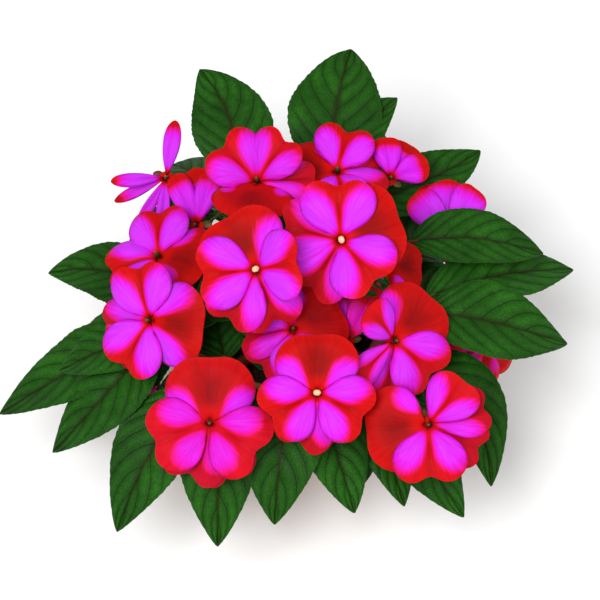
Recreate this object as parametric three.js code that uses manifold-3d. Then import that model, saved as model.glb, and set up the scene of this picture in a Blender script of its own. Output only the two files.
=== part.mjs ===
// Potted New Guinea impatiens in bloom, in millimetres, +Z up. The origin is the centre of the flat
// underside of the pot. The plant shows its best side towards -Y. Leafy stems stand in plain holes in the
// soil and carry toothed leaves and thin flower stalks. Each bloom has a standard petal, two lateral petals
// in front of it and two lower petals behind, a hub and a curved spur.

import * as THREE from 'three';
import { mergeVertices } from 'three/addons/utils/BufferGeometryUtils.js';
import Module from 'manifold-3d';

const wasm = await Module();
wasm.setup();

// Driving dimensions. GAP is the play between two pieces that meet.
const GAP = 0.35;
const MERGE_DISTANCE = 1e-4;
const POT = {
  height: 105, baseRadius: 43, bodyTopRadius: 57, rimRadius: 61, rimHeight: 22, wall: 5, floor: 6, bevel: 1.5,
  sides: 24, holes: 4, holeRadius: 4, holeRing: 24, holeSides: 6,
};
const SOIL = { top: 92, lump: 1.3, edgeDrop: 3, rings: [0.93, 0.5], holeDepth: 24, holeSides: 6 };
const STEM = {
  footRadius: 3.9, crownRadius: 2.5, footHeight: 4, bendShare: 0.3, bendHeight: 0.75, sides: 6, steps: 3,
};
const STALK = { radius: 1.1, cupRadius: 1.9, cupLength: 2.5, from: 0.97, pull: 0.3, sides: 4, steps: 3 };
const LEAF = {
  from: 0.96, petioleShare: 0.17, petioleHalfWidth: 1.2, petioleHalfThickness: 0.9, halfThickness: 0.4,
  bendShare: 0.45, stations: 6, whorlStations: 5, whorlArch: 10, whorlUneven: 0.06, tooth: 0.07, fold: 0.22,
  clearance: 0.3,
};
const HUB = { back: 6.4, backRadius: 2.4, frontRadius: 5, front: 2, waist: -3.4, sides: 5 };
const EYE = { radius: 2.3, height: 4, sides: 6 };
const PETAL = {
  halfThickness: 0.4, rows: [0, 0.55, 1], claw: 3.4, droop: 2, cornerPower: 2.6, notchWidth: 0.26, few: 4,
  fewBelow: 51,
};
const SPUR = { radius: 1.2, tipRadius: 0.8, sides: 3 };
const BUD = { length: 17, radius: 4.6, turn: 90, sides: 8 };

// The faces of the blooms on the show side look up at this angle above the horizon.
const FACE_ELEVATION = THREE.MathUtils.degToRad(57);
const FACE = new THREE.Vector3(0, -Math.cos(FACE_ELEVATION), Math.sin(FACE_ELEVATION));
const FACE_UP = new THREE.Vector3(0, Math.sin(FACE_ELEVATION), Math.cos(FACE_ELEVATION));
const FACE_RIGHT = new THREE.Vector3(1, 0, 0);
const UP = new THREE.Vector3(0, 0, 1);

// Each petal, in the order standard, left and right lateral, left and right lower petal: the angle of its
// middle from the standard and its half width in degrees, its reach and the depth of its notch as shares of
// the bloom's radius, how far in front of the others it lies, in millimetres, and how many degrees it tilts
// forward out of the face.
const PETALS = [
  { angle: 0, half: 72, reach: 1.04, corner: 0.74, notch: 0.1, layer: 0, tilt: 0, columns: 6 },
  { angle: 102, half: 62, reach: 1, corner: 0.72, notch: 0.2, layer: 1.4, tilt: 8, columns: 6 },
  { angle: -102, half: 62, reach: 1, corner: 0.72, notch: 0.2, layer: 1.4, tilt: 8, columns: 6 },
  { angle: 158, half: 50, reach: 1.04, corner: 0.7, notch: 0.2, layer: -1.4, tilt: -5, columns: 4 },
  { angle: -158, half: 50, reach: 1.04, corner: 0.7, notch: 0.2, layer: -2.8, tilt: -5, columns: 4 },
];

// Stems: the foot in the soil and the crown, which carries leaves and flower stalks.
const STEMS = {
  stem_back_left: { foot: [-18, 20], crown: [-33, 42, 142] },
  stem_back: { foot: [10, 27], crown: [24, 48, 142] },
  stem_back_right: { foot: [31, 13], crown: [56, 12, 146] },
  stem_right: { foot: [36, -12], crown: [62, -28, 142] },
  stem_front_right: { foot: [22, -30], crown: [50, -60, 124] },
  stem_front: { foot: [3, -36], crown: [12, -64, 124] },
  stem_front_left: { foot: [-20, -30], crown: [-38, -62, 122] },
  stem_left: { foot: [-36, -6], crown: [-70, -30, 128] },
  stem_middle: { foot: [-2, -4], crown: [4, -12, 168] },
};

// How the petals stand in a bloom, as the angle of each petal from the standard. A bloom without one of
// these keeps the angles above.
const SET_LOW = [0, 117, -117, 160, -160];
const SET_WIDE = [0, 108, -122, 158, -160];
const SET_EVEN = [0, 72, -72, 144, -144];
const SET_LEFT = [0, 84, -137, 147, -172];
const SET_RIGHT = [0, 95, -87, 175, -137];
const SET_ROUND = [0, 68, -108, 122, 172];
const SET_SIDE = [0, 110, -112, -160, -140];
const SET_FLAT = [0, 105, -148, 165, -172];
const SET_HIGH = [0, 145, -125, 100, -170];
const SET_OPEN = [0, 104, -175, 123, 158];
const SET_FAN = [0, 40, -34, 20, -16];
const SET_CLOSED = [0, 22, -20, 11, -10];

// Blooms: stem, centre, width across, direction of the standard petal in the plane of the face (0 is right,
// 90 is up), how the face leans from the show direction (to the right and up, in degrees) and what stands
// in the throat. A bloom may also give the angles of its petals, how slim all or each of them are, how far
// each of them tilts forward, and the share of the stem's height at which its stalk begins.
const BLOOMS = {
  bloom_01: {
    stem: 'stem_front_left', at: [-41, -104, 153], across: 69, turn: 90, lean: [0, 0], eye: 'ovary',
    angles: SET_WIDE,
  },
  bloom_02: {
    stem: 'stem_front', at: [15.5, -95, 168.5], across: 63, turn: 90, lean: [0, 0], eye: 'cap',
    angles: SET_LOW,
  },
  bloom_03: {
    stem: 'stem_front_right', at: [74, -105.5, 154], across: 66, turn: 188, lean: [0, 0], eye: 'ovary',
    angles: SET_LEFT, slims: [1, 1, 0.7, 0.85, 0.8], tilts: [0, 6, 22, -5, 4],
  },
  bloom_04: {
    stem: 'stem_right', at: [57, -61, 166], across: 65, turn: 46, lean: [20, 0], eye: 'ovary',
    angles: SET_RIGHT, slims: [1, 0.55, 1, 0.5, 0.95], tilts: [0, 34, 6, 14, -5],
  },
  bloom_05: {
    stem: 'stem_middle', at: [-16.5, -39, 201], across: 66, turn: 118, lean: [0, 0], eye: 'cap',
    angles: SET_ROUND, tilts: [0, 8, 42, 0, -5],
  },
  bloom_06: {
    stem: 'stem_middle', at: [28, -25, 208], across: 68, turn: 22, lean: [0, 0], eye: 'cap',
    angles: SET_EVEN, tilts: [0, 8, 18, -5, -5],
  },
  bloom_07: {
    stem: 'stem_left', at: [-74, -48, 166], across: 65, turn: -8, lean: [-27, 0], eye: 'ovary',
    angles: SET_SIDE,
  },
  bloom_08: {
    stem: 'stem_left', at: [-71, -4, 162], across: 62, turn: -5, lean: [-20, 38], eye: 'ovary',
    angles: SET_FLAT, tilts: [0, 16, 8, -5, -5],
  },
  bloom_09: {
    stem: 'stem_back_left', at: [-17, 29, 186], across: 64, turn: 265, lean: [-4, 30], eye: 'ovary',
    angles: SET_HIGH, slims: [1, 0.85, 1, 0.7, 1], tilts: [24, 30, 30, 6, 14],
  },
  bloom_10: {
    stem: 'stem_back', at: [27, 46, 172], across: 58, turn: 175, lean: [4, 32], eye: 'ovary',
    tilts: [0, 8, 20, -5, -5],
  },
  bloom_11: {
    stem: 'stem_back_left', at: [-69, 57, 151], across: 62, turn: 81, lean: [0, 0], eye: 'ovary',
    angles: SET_OPEN, slim: 0.27,
  },
  bloom_12: {
    stem: 'stem_back_left', at: [-51, 20, 157], across: 62, turn: 92, lean: [-10, 10], eye: 'ovary',
    angles: SET_CLOSED, slim: 0.42,
  },
  bloom_13: {
    stem: 'stem_back_right', at: [91, 27, 138], across: 60, turn: 94, lean: [10, 10], eye: 'ovary',
    angles: SET_FAN, slim: 0.55, from: 0.8,
  },
  bloom_14: {
    stem: 'stem_back', at: [57, 50, 160], across: 46, turn: 55, lean: [10, 10], eye: 'ovary',
    angles: SET_FAN, slim: 0.6,
  },
  bloom_15: { stem: 'stem_front', at: [3, -52, 163], across: 58, turn: 25, lean: [0, 12], eye: 'ovary' },
  bloom_16: {
    stem: 'stem_front', at: [32, -51.5, 149], across: 66, turn: 96, lean: [0, 0], eye: 'ovary',
    angles: SET_FAN, slim: 0.5,
  },
  bloom_17: { stem: 'stem_right', at: [111, -22, 99], across: 50, turn: 0, lean: [35, -10], eye: 'ovary' },
  bloom_18: { stem: 'stem_back_right', at: [55, -11, 162], across: 42, turn: 0, lean: [20, 10], eye: 'ovary' },
  bloom_19: { stem: 'stem_back', at: [-5, 88, 125], across: 56, turn: 90, lean: [0, 95], eye: 'cap' },
  bloom_20: { stem: 'stem_back_right', at: [66, 80, 110], across: 56, turn: 60, lean: [30, 90], eye: 'ovary' },
};

const BUDS = {
  bud_01: { stem: 'stem_left', at: [-77, -64, 118], lean: [-20, 10] },
  bud_02: { stem: 'stem_back_left', at: [-60, 78, 118], lean: [-40, 80] },
};

// Leaves placed one by one: stem, tip, half width, how far the midrib arches above its chord and bows to
// its right, and the share of the stem's height at which the leaf grows.
const PLACED_LEAVES = [
  { stem: 'stem_back_left', tip: [-51, 126, 161], half: 23, arch: 8, bow: 10 },
  { stem: 'stem_back', tip: [36, 140, 162], half: 27, arch: 8, bow: -3 },
  { stem: 'stem_back', tip: [62, 107, 159], half: 15, arch: 8, bow: -5, share: 0.9 },
  { stem: 'stem_back', tip: [110, 85, 138], half: 20, arch: 4, bow: 8, share: 0.82 },
  { stem: 'stem_back_right', tip: [142, 13, 139], half: 19, arch: 14 },
  { stem: 'stem_right', tip: [161, 16, 118], half: 19, arch: 14 },
  { stem: 'stem_right', tip: [153, -40, 129], half: 24, arch: 16, bow: 5 },
  { stem: 'stem_front_right', tip: [111, -110, 95], half: 20, arch: 16, bow: -22 },
  { stem: 'stem_front_right', tip: [95, -129, 95], half: 20, arch: 12, bow: 4 },
  { stem: 'stem_front_right', tip: [63, -124, 98], half: 15, arch: 2, share: 0.78 },
  { stem: 'stem_front', tip: [36, -127, 96], half: 19, arch: 12 },
  { stem: 'stem_front', tip: [-7, -136, 96], half: 23, arch: 16, bow: 4 },
  { stem: 'stem_front_left', tip: [-38, -142, 86], half: 22, arch: 18 },
  { stem: 'stem_front_left', tip: [-93, -131, 82], half: 22, arch: 18, bow: 5 },
  { stem: 'stem_left', tip: [-130, -85, 88], half: 21, arch: 18, bow: -8 },
  { stem: 'stem_left', tip: [-162, -57, 82], half: 20, arch: 14, bow: -4, share: 0.86 },
  { stem: 'stem_left', tip: [-126, -50, 117], half: 17, arch: 14, bow: -6 },
  { stem: 'stem_left', tip: [-135, 12, 121], half: 20, arch: 12, bow: 10, share: 0.9 },
  { stem: 'stem_front_left', tip: [-44, -6, 128], half: 18, arch: 4, share: 0.8 },
  { stem: 'stem_left', tip: [-26, -20, 140], half: 15, arch: 3, share: 0.9 },
  { stem: 'stem_front', tip: [-26, -36, 128], half: 15, arch: 2, share: 0.8 },
];

// Whorls of leaves lower down: share of the stem's height, count, middle direction and spread in degrees,
// length, fall of the tip below the base, half width.
const WHORLS = [
  { stem: 'stem_front_right', share: 0.62, count: 2, toward: -50, spread: 70, length: 52, fall: 42, half: 17 },
  { stem: 'stem_front', share: 0.62, count: 2, toward: -88, spread: 50, length: 50, fall: 42, half: 17 },
  { stem: 'stem_front_left', share: 0.62, count: 2, toward: -125, spread: 70, length: 54, fall: 42, half: 17 },
  { stem: 'stem_left', share: 0.6, count: 3, toward: 178, spread: 80, length: 72, fall: 44, half: 19 },
  { stem: 'stem_right', share: 0.6, count: 3, toward: -8, spread: 80, length: 78, fall: 46, half: 19 },
  { stem: 'stem_back_right', share: 0.55, count: 3, toward: 38, spread: 80, length: 80, fall: 44, half: 20 },
  { stem: 'stem_back', share: 0.5, count: 3, toward: 78, spread: 80, length: 80, fall: 48, half: 20 },
  { stem: 'stem_back_left', share: 0.55, count: 3, toward: 130, spread: 90, length: 74, fall: 50, half: 20 },
  { stem: 'stem_back_left', share: 0.95, count: 2, toward: 160, spread: 70, length: 62, fall: 26, half: 18 },
  { stem: 'stem_back', share: 0.8, count: 2, toward: 95, spread: 60, length: 76, fall: 26, half: 20 },
  { stem: 'stem_middle', share: 0.93, count: 5, toward: 56, spread: 288, length: 58, fall: 14, half: 18 },
  { stem: 'stem_middle', share: 0.5, count: 5, toward: 200, spread: 288, length: 56, fall: 8, half: 18 },
];

// The ways in which a leaf may bend clear of its neighbours: a turn in degrees, a lift of the tip, a share
// of its length and a change of its arch.
const BENDS = [
  [0, 0, 1, 0], [0, 0, 1, -8], [0, 4, 1, 4], [0, -5, 1, -4], [4, 0, 1, 0], [-4, 0, 1, 0], [0, -9, 1, 0],
  [8, -4, 1, 0], [-8, -4, 1, 0], [0, 8, 1, 0], [0, -4, 0.9, -6], [14, -4, 0.95, 0], [-14, -4, 0.95, 0],
  [0, -14, 0.95, -6], [22, -6, 0.9, 0], [-22, -6, 0.9, 0], [10, -14, 0.85, -4], [-10, -14, 0.85, -4],
  [0, -8, 0.78, -6], [16, -8, 0.78, -6], [-16, -8, 0.78, -6],
];

const surface = (color, roughness) => new THREE.MeshStandardMaterial({ color, roughness, metalness: 0 });
const MATERIALS = {
  clay: surface(0xb5653f, 0.85),
  soil: surface(0x2b1d14, 1),
  leaf: surface(0x2f6121, 0.5),
  petal: surface(0xd3190f, 0.6),
  cap: surface(0xf4dcc0, 0.6),
  ovary: surface(0x2c4a1c, 0.5),
};

const plant = new THREE.Group();
const obstacles = [];

// A closed geometry as a solid: shared corners are merged and triangles that have shrunk to a line are left
// out.
function solidFrom(geometry) {
  const bare = geometry.clone();
  bare.deleteAttribute('normal');
  bare.deleteAttribute('uv');
  const merged = mergeVertices(bare, MERGE_DISTANCE);
  const index = merged.index.array;
  const triangles = [];
  for (let i = 0; i < index.length; i += 3) {
    const [a, b, c] = [index[i], index[i + 1], index[i + 2]];
    if (a !== b && b !== c && c !== a) triangles.push(a, b, c);
  }
  return new wasm.Manifold(new wasm.Mesh({
    numProp: 3,
    vertProperties: new Float32Array(merged.attributes.position.array),
    triVerts: new Uint32Array(triangles),
  }));
}

function geometryOf(solid) {
  const mesh = solid.getMesh();
  const geometry = new THREE.BufferGeometry();
  geometry.setAttribute('position', new THREE.BufferAttribute(new Float32Array(mesh.vertProperties), 3));
  geometry.setIndex(new THREE.BufferAttribute(new Uint32Array(mesh.triVerts), 1));
  geometry.computeVertexNormals();
  return geometry;
}

function geometryFromTriangles(points, triangles) {
  const geometry = new THREE.BufferGeometry();
  geometry.setAttribute('position', new THREE.Float32BufferAttribute(points.flatMap((p) => p.toArray()), 3));
  geometry.setIndex(triangles);
  return geometry;
}

// A thin closed sheet between two grids of points, with the same diagonals on both faces. Seen from the
// front, the columns run to the right and the rows away from the viewer's foot.
function sheetSolid(front, back) {
  const rows = front.length;
  const columns = front[0].length;
  const points = [...front.flat(), ...back.flat()];
  const offset = rows * columns;
  const at = (row, column) => row * columns + column;
  const triangles = [];
  const quad = (a, b, c, d) => triangles.push(a, b, c, a, c, d);
  for (let row = 0; row + 1 < rows; row++) {
    for (let column = 0; column + 1 < columns; column++) {
      const [a, b] = [at(row, column), at(row, column + 1)];
      const [c, d] = [at(row + 1, column + 1), at(row + 1, column)];
      quad(a, b, c, d);
      triangles.push(offset + c, offset + b, offset + a, offset + d, offset + c, offset + a);
    }
  }
  for (let column = 0; column + 1 < columns; column++) {
    const [a, b] = [at(0, column), at(0, column + 1)];
    quad(offset + a, offset + b, b, a);
    const [c, d] = [at(rows - 1, column), at(rows - 1, column + 1)];
    quad(c, d, offset + d, offset + c);
  }
  for (let row = 0; row + 1 < rows; row++) {
    const [a, b] = [at(row, 0), at(row + 1, 0)];
    quad(a, b, offset + b, offset + a);
    const [c, d] = [at(row, columns - 1), at(row + 1, columns - 1)];
    quad(offset + c, offset + d, d, c);
  }
  return solidFrom(geometryFromTriangles(points, triangles));
}

// A tapered tube with flat ends through the given points.
function tubeSolid(points, radii, sides) {
  const rings = points.map((point, i) => {
    const before = points[Math.max(i - 1, 0)];
    const after = points[Math.min(i + 1, points.length - 1)];
    const along = after.clone().sub(before).normalize();
    const reference = Math.abs(along.x) < 0.8 ? FACE_RIGHT : UP;
    const across = new THREE.Vector3().crossVectors(along, reference).normalize();
    const third = new THREE.Vector3().crossVectors(along, across);
    return Array.from({ length: sides }, (_, k) => {
      const turn = (2 * Math.PI * k) / sides;
      return point.clone()
        .addScaledVector(across, radii[i] * Math.cos(turn))
        .addScaledVector(third, radii[i] * Math.sin(turn));
    });
  });
  const triangles = [];
  for (let i = 0; i + 1 < rings.length; i++) {
    for (let k = 0; k < sides; k++) {
      const next = (k + 1) % sides;
      const [a, b] = [i * sides + k, i * sides + next];
      const [c, d] = [b + sides, a + sides];
      triangles.push(a, b, c, a, c, d);
    }
  }
  const last = (rings.length - 1) * sides;
  for (let k = 1; k + 1 < sides; k++) {
    triangles.push(0, k + 1, k, last, last + k, last + k + 1);
  }
  return solidFrom(geometryFromTriangles(rings.flat(), triangles));
}

// A turned shape about +Z from a profile of [radius, height] pairs that starts and ends on the axis.
function turnedSolid(profile, sides) {
  const geometry = new THREE.LatheGeometry(profile.map(([r, z]) => new THREE.Vector2(r, z)), sides);
  geometry.rotateX(Math.PI / 2);
  return solidFrom(geometry);
}

function addMesh(parent, name, solid, material) {
  const mesh = new THREE.Mesh(geometryOf(solid), material);
  mesh.name = name;
  parent.add(mesh);
}

const bodyRadius = (z) => POT.baseRadius + ((POT.bodyTopRadius - POT.baseRadius) * z) / POT.height;
const innerRadius = (z) => bodyRadius(z) - POT.wall;

function potSolid() {
  const rimFoot = POT.height - POT.rimHeight;
  const body = turnedSolid([
    [0, 0], [POT.baseRadius - POT.bevel, 0], [bodyRadius(POT.bevel), POT.bevel], [bodyRadius(rimFoot), rimFoot],
    [POT.rimRadius - 1, rimFoot + 1], [POT.rimRadius, POT.height], [innerRadius(POT.height), POT.height],
    [innerRadius(POT.floor), POT.floor], [0, POT.floor],
  ], POT.sides);
  const top = POT.floor + 1;
  const drill = turnedSolid([[0, -1], [POT.holeRadius, -1], [POT.holeRadius, top], [0, top]], POT.holeSides);
  let pot = body;
  for (let i = 0; i < POT.holes; i++) {
    const turn = ((i + 0.5) * 2 * Math.PI) / POT.holes;
    pot = pot.subtract(drill.translate([POT.holeRing * Math.cos(turn), POT.holeRing * Math.sin(turn), 0]));
  }
  return pot;
}

// How far the soil rises or sinks at a point, as two crossing waves.
function lump(x, y) {
  const waves = Math.sin(0.21 * x + 1) * Math.cos(0.17 * y) + Math.sin(0.33 * y - 0.24 * x);
  return SOIL.lump * waves;
}

function soilSolid() {
  const shoulder = SOIL.top - SOIL.edgeDrop;
  const edge = innerRadius(shoulder) - GAP;
  const floor = POT.floor + GAP;
  const profile = [[0, floor], [innerRadius(floor) - GAP, floor], [edge, shoulder]];
  for (const share of SOIL.rings) profile.push([edge * share, SOIL.top]);
  profile.push([0, SOIL.top]);
  const geometry = new THREE.LatheGeometry(profile.map(([r, z]) => new THREE.Vector2(r, z)), POT.sides);
  geometry.rotateX(Math.PI / 2);
  const position = geometry.attributes.position;
  for (let i = 0; i < position.count; i++) {
    const [x, y, z] = [position.getX(i), position.getY(i), position.getZ(i)];
    if (z > SOIL.top - 1) position.setZ(i, z + lump(x, y));
  }
  let soil = solidFrom(geometry);
  for (const stem of Object.values(STEMS)) {
    const radius = STEM.footRadius + GAP * 1.6;
    const height = SOIL.holeDepth * 1.5;
    const hole = turnedSolid([[0, 0], [radius, 0], [radius, height], [0, height]], SOIL.holeSides);
    soil = soil.subtract(hole.translate([stem.foot[0], stem.foot[1], SOIL.top - SOIL.holeDepth]));
  }
  return soil;
}

function stemCurve(stem) {
  const foot = new THREE.Vector3(stem.foot[0], stem.foot[1], SOIL.top + STEM.footHeight);
  const crown = new THREE.Vector3(...stem.crown);
  const bend = foot.clone().lerp(crown, STEM.bendShare);
  bend.z = THREE.MathUtils.lerp(foot.z, crown.z, STEM.bendHeight);
  return new THREE.QuadraticBezierCurve3(foot, bend, crown);
}

function stemSolid(stem) {
  const curve = stemCurve(stem);
  const root = new THREE.Vector3(stem.foot[0], stem.foot[1], SOIL.top - SOIL.holeDepth + GAP);
  const points = [root, ...curve.getPoints(STEM.steps)];
  const radii = points.map((_, i) => THREE.MathUtils.lerp(STEM.footRadius, STEM.crownRadius,
    Math.max(i - 1, 0) / STEM.steps));
  return tubeSolid(points, radii, STEM.sides);
}

// The direction in which a bloom or bud faces.
function facing(lean) {
  const [right, up] = lean.map(THREE.MathUtils.degToRad);
  const turned = FACE.clone().multiplyScalar(Math.cos(up)).addScaledVector(FACE_UP, Math.sin(up));
  return turned.multiplyScalar(Math.cos(right)).addScaledVector(FACE_RIGHT, Math.sin(right)).normalize();
}

// The frame of a bloom: its local Y runs along the standard petal and its local Z out of the face.
function bloomMatrix(bloom) {
  const out = facing(bloom.lean);
  const right = new THREE.Vector3().crossVectors(FACE_UP, out).normalize();
  const up = new THREE.Vector3().crossVectors(out, right);
  const turn = THREE.MathUtils.degToRad(bloom.turn ?? BUD.turn);
  const standard = right.clone().multiplyScalar(Math.cos(turn)).addScaledVector(up, Math.sin(turn));
  const side = new THREE.Vector3().crossVectors(standard, out);
  return new THREE.Matrix4().makeBasis(side, standard, out).setPosition(...bloom.at);
}

// The front of a petal at u across it (-1 to 1) and v along it (0 at the throat, 1 at the rim).
function petalPoint(bloom, petal, u, v) {
  const round = 1 - (1 - petal.corner) * Math.abs(u) ** PETAL.cornerPower;
  const notched = 1 - petal.notch * Math.exp(-((u / PETAL.notchWidth) ** 2)) * v;
  const reach = (0.5 * bloom.across * petal.reach - PETAL.claw) * round * notched * v;
  const middle = THREE.MathUtils.degToRad(petal.angle);
  const turn = middle + THREE.MathUtils.degToRad(u * petal.half);
  const tilt = THREE.MathUtils.degToRad(petal.tilt);
  const forward = reach * Math.cos(turn - middle);
  const pulled = PETAL.claw - forward * (1 - Math.cos(tilt));
  const x = -pulled * Math.sin(middle) - reach * Math.sin(turn);
  const y = pulled * Math.cos(middle) + reach * Math.cos(turn);
  const rim = (PETAL.claw + reach) / (0.5 * bloom.across);
  return new THREE.Vector3(x, y, petal.layer + forward * Math.sin(tilt) - PETAL.droop * rim ** 2);
}

function petalSolid(bloom, petal) {
  const columns = bloom.slim || bloom.across < PETAL.fewBelow ? PETAL.few : petal.columns;
  const grid = PETAL.rows.map((v) => Array.from({ length: columns + 1 },
    (_, k) => petalPoint(bloom, petal, 1 - (2 * k) / columns, v)));
  const shifted = (z) => grid.map((row) => row.map((p) => p.clone().setZ(p.z + z)));
  return sheetSolid(shifted(PETAL.halfThickness), shifted(-PETAL.halfThickness));
}

function spurSolid(across) {
  const points = [[0, -2.5, -3.6], [0, -5.5, -8.4], [0, -0.2 * across, -14], [0, -0.34 * across, -15]]
    .map((p) => new THREE.Vector3(...p));
  const radii = points.map((_, i) => THREE.MathUtils.lerp(SPUR.radius, SPUR.tipRadius, i / 3));
  return tubeSolid(points, radii, SPUR.sides);
}

function hubSolid() {
  return turnedSolid([
    [0, -HUB.back], [HUB.backRadius, -HUB.back], [HUB.frontRadius, HUB.waist], [HUB.frontRadius, HUB.front],
    [0, HUB.front],
  ], HUB.sides);
}

function bloomSolid(bloom) {
  let solid = hubSolid().add(spurSolid(bloom.across));
  PETALS.forEach((petal, i) => {
    const angle = bloom.angles?.[i] ?? petal.angle;
    const tilt = bloom.tilts?.[i] ?? petal.tilt;
    const half = petal.half * (bloom.slims?.[i] ?? bloom.slim ?? 1);
    solid = solid.add(petalSolid(bloom, { ...petal, angle, tilt, half }));
  });
  return solid;
}

// What stands in the throat: a pale cap of anthers in a young bloom, a slim green ovary in an older one.
function eyeSolid(kind) {
  const seat = HUB.front + GAP;
  const profiles = {
    cap: [[0, seat], [EYE.radius * 0.8, seat], [EYE.radius, seat + 1.6], [1.4, seat + EYE.height - 0.6],
      [0, seat + EYE.height]],
    ovary: [[0, seat], [EYE.radius * 0.75, seat], [EYE.radius * 0.6, seat + 2], [0, seat + EYE.height]],
  };
  return turnedSolid(profiles[kind], EYE.sides);
}

function budSolid() {
  const half = BUD.length / 2;
  const body = turnedSolid([
    [0, -half], [BUD.radius * 0.55, -half + 1], [BUD.radius, -1], [BUD.radius * 0.6, half - 4], [0, half],
  ], BUD.sides);
  const spur = tubeSolid([[0, 0, -half + 3], [0, -7, -half - 3], [0, -14, -half - 3]]
    .map((p) => new THREE.Vector3(...p)), [1.2, 0.9, 0.7], SPUR.sides);
  return body.add(spur);
}

// A flower stalk from the crown of its stem to the back of a bloom or bud.
function stalkSolid(flower, back) {
  const curve = stemCurve(STEMS[flower.stem]);
  const start = curve.getPoint(flower.from ?? STALK.from);
  const out = facing(flower.lean);
  const end = new THREE.Vector3(...flower.at).addScaledVector(out, -back - GAP);
  const reach = start.distanceTo(end);
  const bezier = new THREE.CubicBezierCurve3(start, start.clone().addScaledVector(UP, STALK.pull * reach),
    end.clone().addScaledVector(out, -STALK.pull * reach), end);
  const points = bezier.getPoints(STALK.steps);
  const cup = end.clone().addScaledVector(out, -STALK.cupLength);
  points.splice(STALK.steps, 0, cup);
  const radii = points.map((_, i) => (i === points.length - 1 ? STALK.cupRadius : STALK.radius));
  return tubeSolid(points, radii, STALK.sides);
}

// Half width of a leaf blade at s from its base (0) to its drawn-out tip (1).
const bladeWidth = (half, s) => half * Math.sin(Math.PI * s ** 0.85) ** 0.8;

function leafSolid(leaf, extra, bladeOnly = false) {
  const [base, tip] = [leaf.base, leaf.tip];
  const chord = tip.clone().sub(base).setZ(0).normalize();
  const sideways = new THREE.Vector3().crossVectors(chord, UP);
  const control = base.clone().lerp(tip, LEAF.bendShare).addScaledVector(sideways, 2 * (leaf.bow ?? 0));
  control.z += 2 * leaf.arch;
  const midrib = new THREE.QuadraticBezierCurve3(base, control, tip);
  const shares = [0];
  for (let i = 0; i <= leaf.stations; i++) {
    const s = 0.5 - 0.5 * Math.cos((Math.PI * i) / leaf.stations);
    shares.push(THREE.MathUtils.lerp(LEAF.petioleShare, 1, s));
  }
  const front = [];
  const back = [];
  shares.forEach((t, i) => {
    const point = midrib.getPoint(t);
    const along = midrib.getTangent(t);
    const side = new THREE.Vector3().crossVectors(along, UP).normalize();
    const out = new THREE.Vector3().crossVectors(side, along);
    const s = (t - LEAF.petioleShare) / (1 - LEAF.petioleShare);
    const tooth = 1 + (i % 2 ? LEAF.tooth : -LEAF.tooth);
    const wide = i === leaf.stations + 1 ? 0 : Math.max(s > 0 ? bladeWidth(leaf.half, s) * tooth : 0,
      LEAF.petioleHalfWidth);
    const thick = (s > 0 ? LEAF.halfThickness : LEAF.petioleHalfThickness) + extra;
    const row = [-1, 0, 1].map((k) => point.clone().addScaledVector(side, k * wide)
      .addScaledVector(out, Math.abs(k) * (s > 0 ? LEAF.fold : 0) * wide));
    front.push(row.map((p) => p.clone().addScaledVector(out, thick)));
    back.push(row.map((p) => p.clone().addScaledVector(out, -thick)));
  });
  return bladeOnly ? sheetSolid(front.slice(1), back.slice(1)) : sheetSolid(front, back);
}

// A leaf after one of the bends: turned about its base, its tip lifted, shortened, its arch changed.
function bentLeaf(leaf, [turn, lift, share, arch]) {
  const reach = leaf.tip.clone().sub(leaf.base).multiplyScalar(share);
  reach.applyAxisAngle(UP, THREE.MathUtils.degToRad(turn));
  reach.z += lift;
  return { ...leaf, tip: leaf.base.clone().add(reach), arch: leaf.arch + arch };
}

// Whether a leaf crosses nothing: its whole solid is tested against other stems and flowers, and its blade
// alone against the blades of its own stem, because the petioles of one stem grow together.
function isClear(leaf) {
  const whole = leafSolid(leaf, LEAF.clearance);
  const blade = leafSolid(leaf, LEAF.clearance, true);
  const box = whole.boundingBox();
  return obstacles.every((other) => {
    const apart = [0, 1, 2].some((k) => other.box.min[k] > box.max[k] || other.box.max[k] < box.min[k]);
    if (apart) return true;
    if (other.owner !== leaf.stem) return whole.intersect(other.solid).isEmpty();
    return !other.blade || blade.intersect(other.blade).isEmpty();
  });
}

function addObstacle(solid, owner, blade) {
  obstacles.push({ solid, owner, blade, box: solid.boundingBox() });
}

// All leaves: the ones placed one by one, then the whorls.
function leafList() {
  const list = PLACED_LEAVES.map((leaf) => ({
    ...leaf,
    base: stemCurve(STEMS[leaf.stem]).getPoint(leaf.share ?? LEAF.from),
    tip: new THREE.Vector3(...leaf.tip),
    stations: LEAF.stations,
  }));
  for (const whorl of WHORLS) {
    const base = stemCurve(STEMS[whorl.stem]).getPoint(whorl.share);
    for (let i = 0; i < whorl.count; i++) {
      const turn = THREE.MathUtils.degToRad(whorl.toward + whorl.spread * (i / (whorl.count - 1) - 0.5));
      const length = whorl.length * (1 + LEAF.whorlUneven * Math.sin(5 * i + whorl.toward));
      const tip = new THREE.Vector3(Math.cos(turn) * length, Math.sin(turn) * length, -whorl.fall).add(base);
      const { stem, half } = whorl;
      list.push({ stem, base, tip, half, arch: LEAF.whorlArch, stations: LEAF.whorlStations });
    }
  }
  return list;
}

const pot = potSolid();
addMesh(plant, 'pot', pot, MATERIALS.clay);
addObstacle(pot, 'pot');
const soil = soilSolid();
addMesh(plant, 'soil', soil, MATERIALS.soil);
addObstacle(soil, 'soil');

const stemSolids = Object.fromEntries(Object.entries(STEMS).map(([name, stem]) => [name, stemSolid(stem)]));

function addFlower(name, flower, back, pieces) {
  const matrix = bloomMatrix(flower);
  const holder = new THREE.Group();
  holder.applyMatrix4(matrix);
  plant.add(holder);
  for (const [pieceName, solid, material] of pieces) {
    addMesh(holder, pieceName, solid, material);
    addObstacle(solid.transform(matrix.elements), pieceName);
  }
  stemSolids[flower.stem] = stemSolids[flower.stem].add(stalkSolid(flower, back));
}

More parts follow.
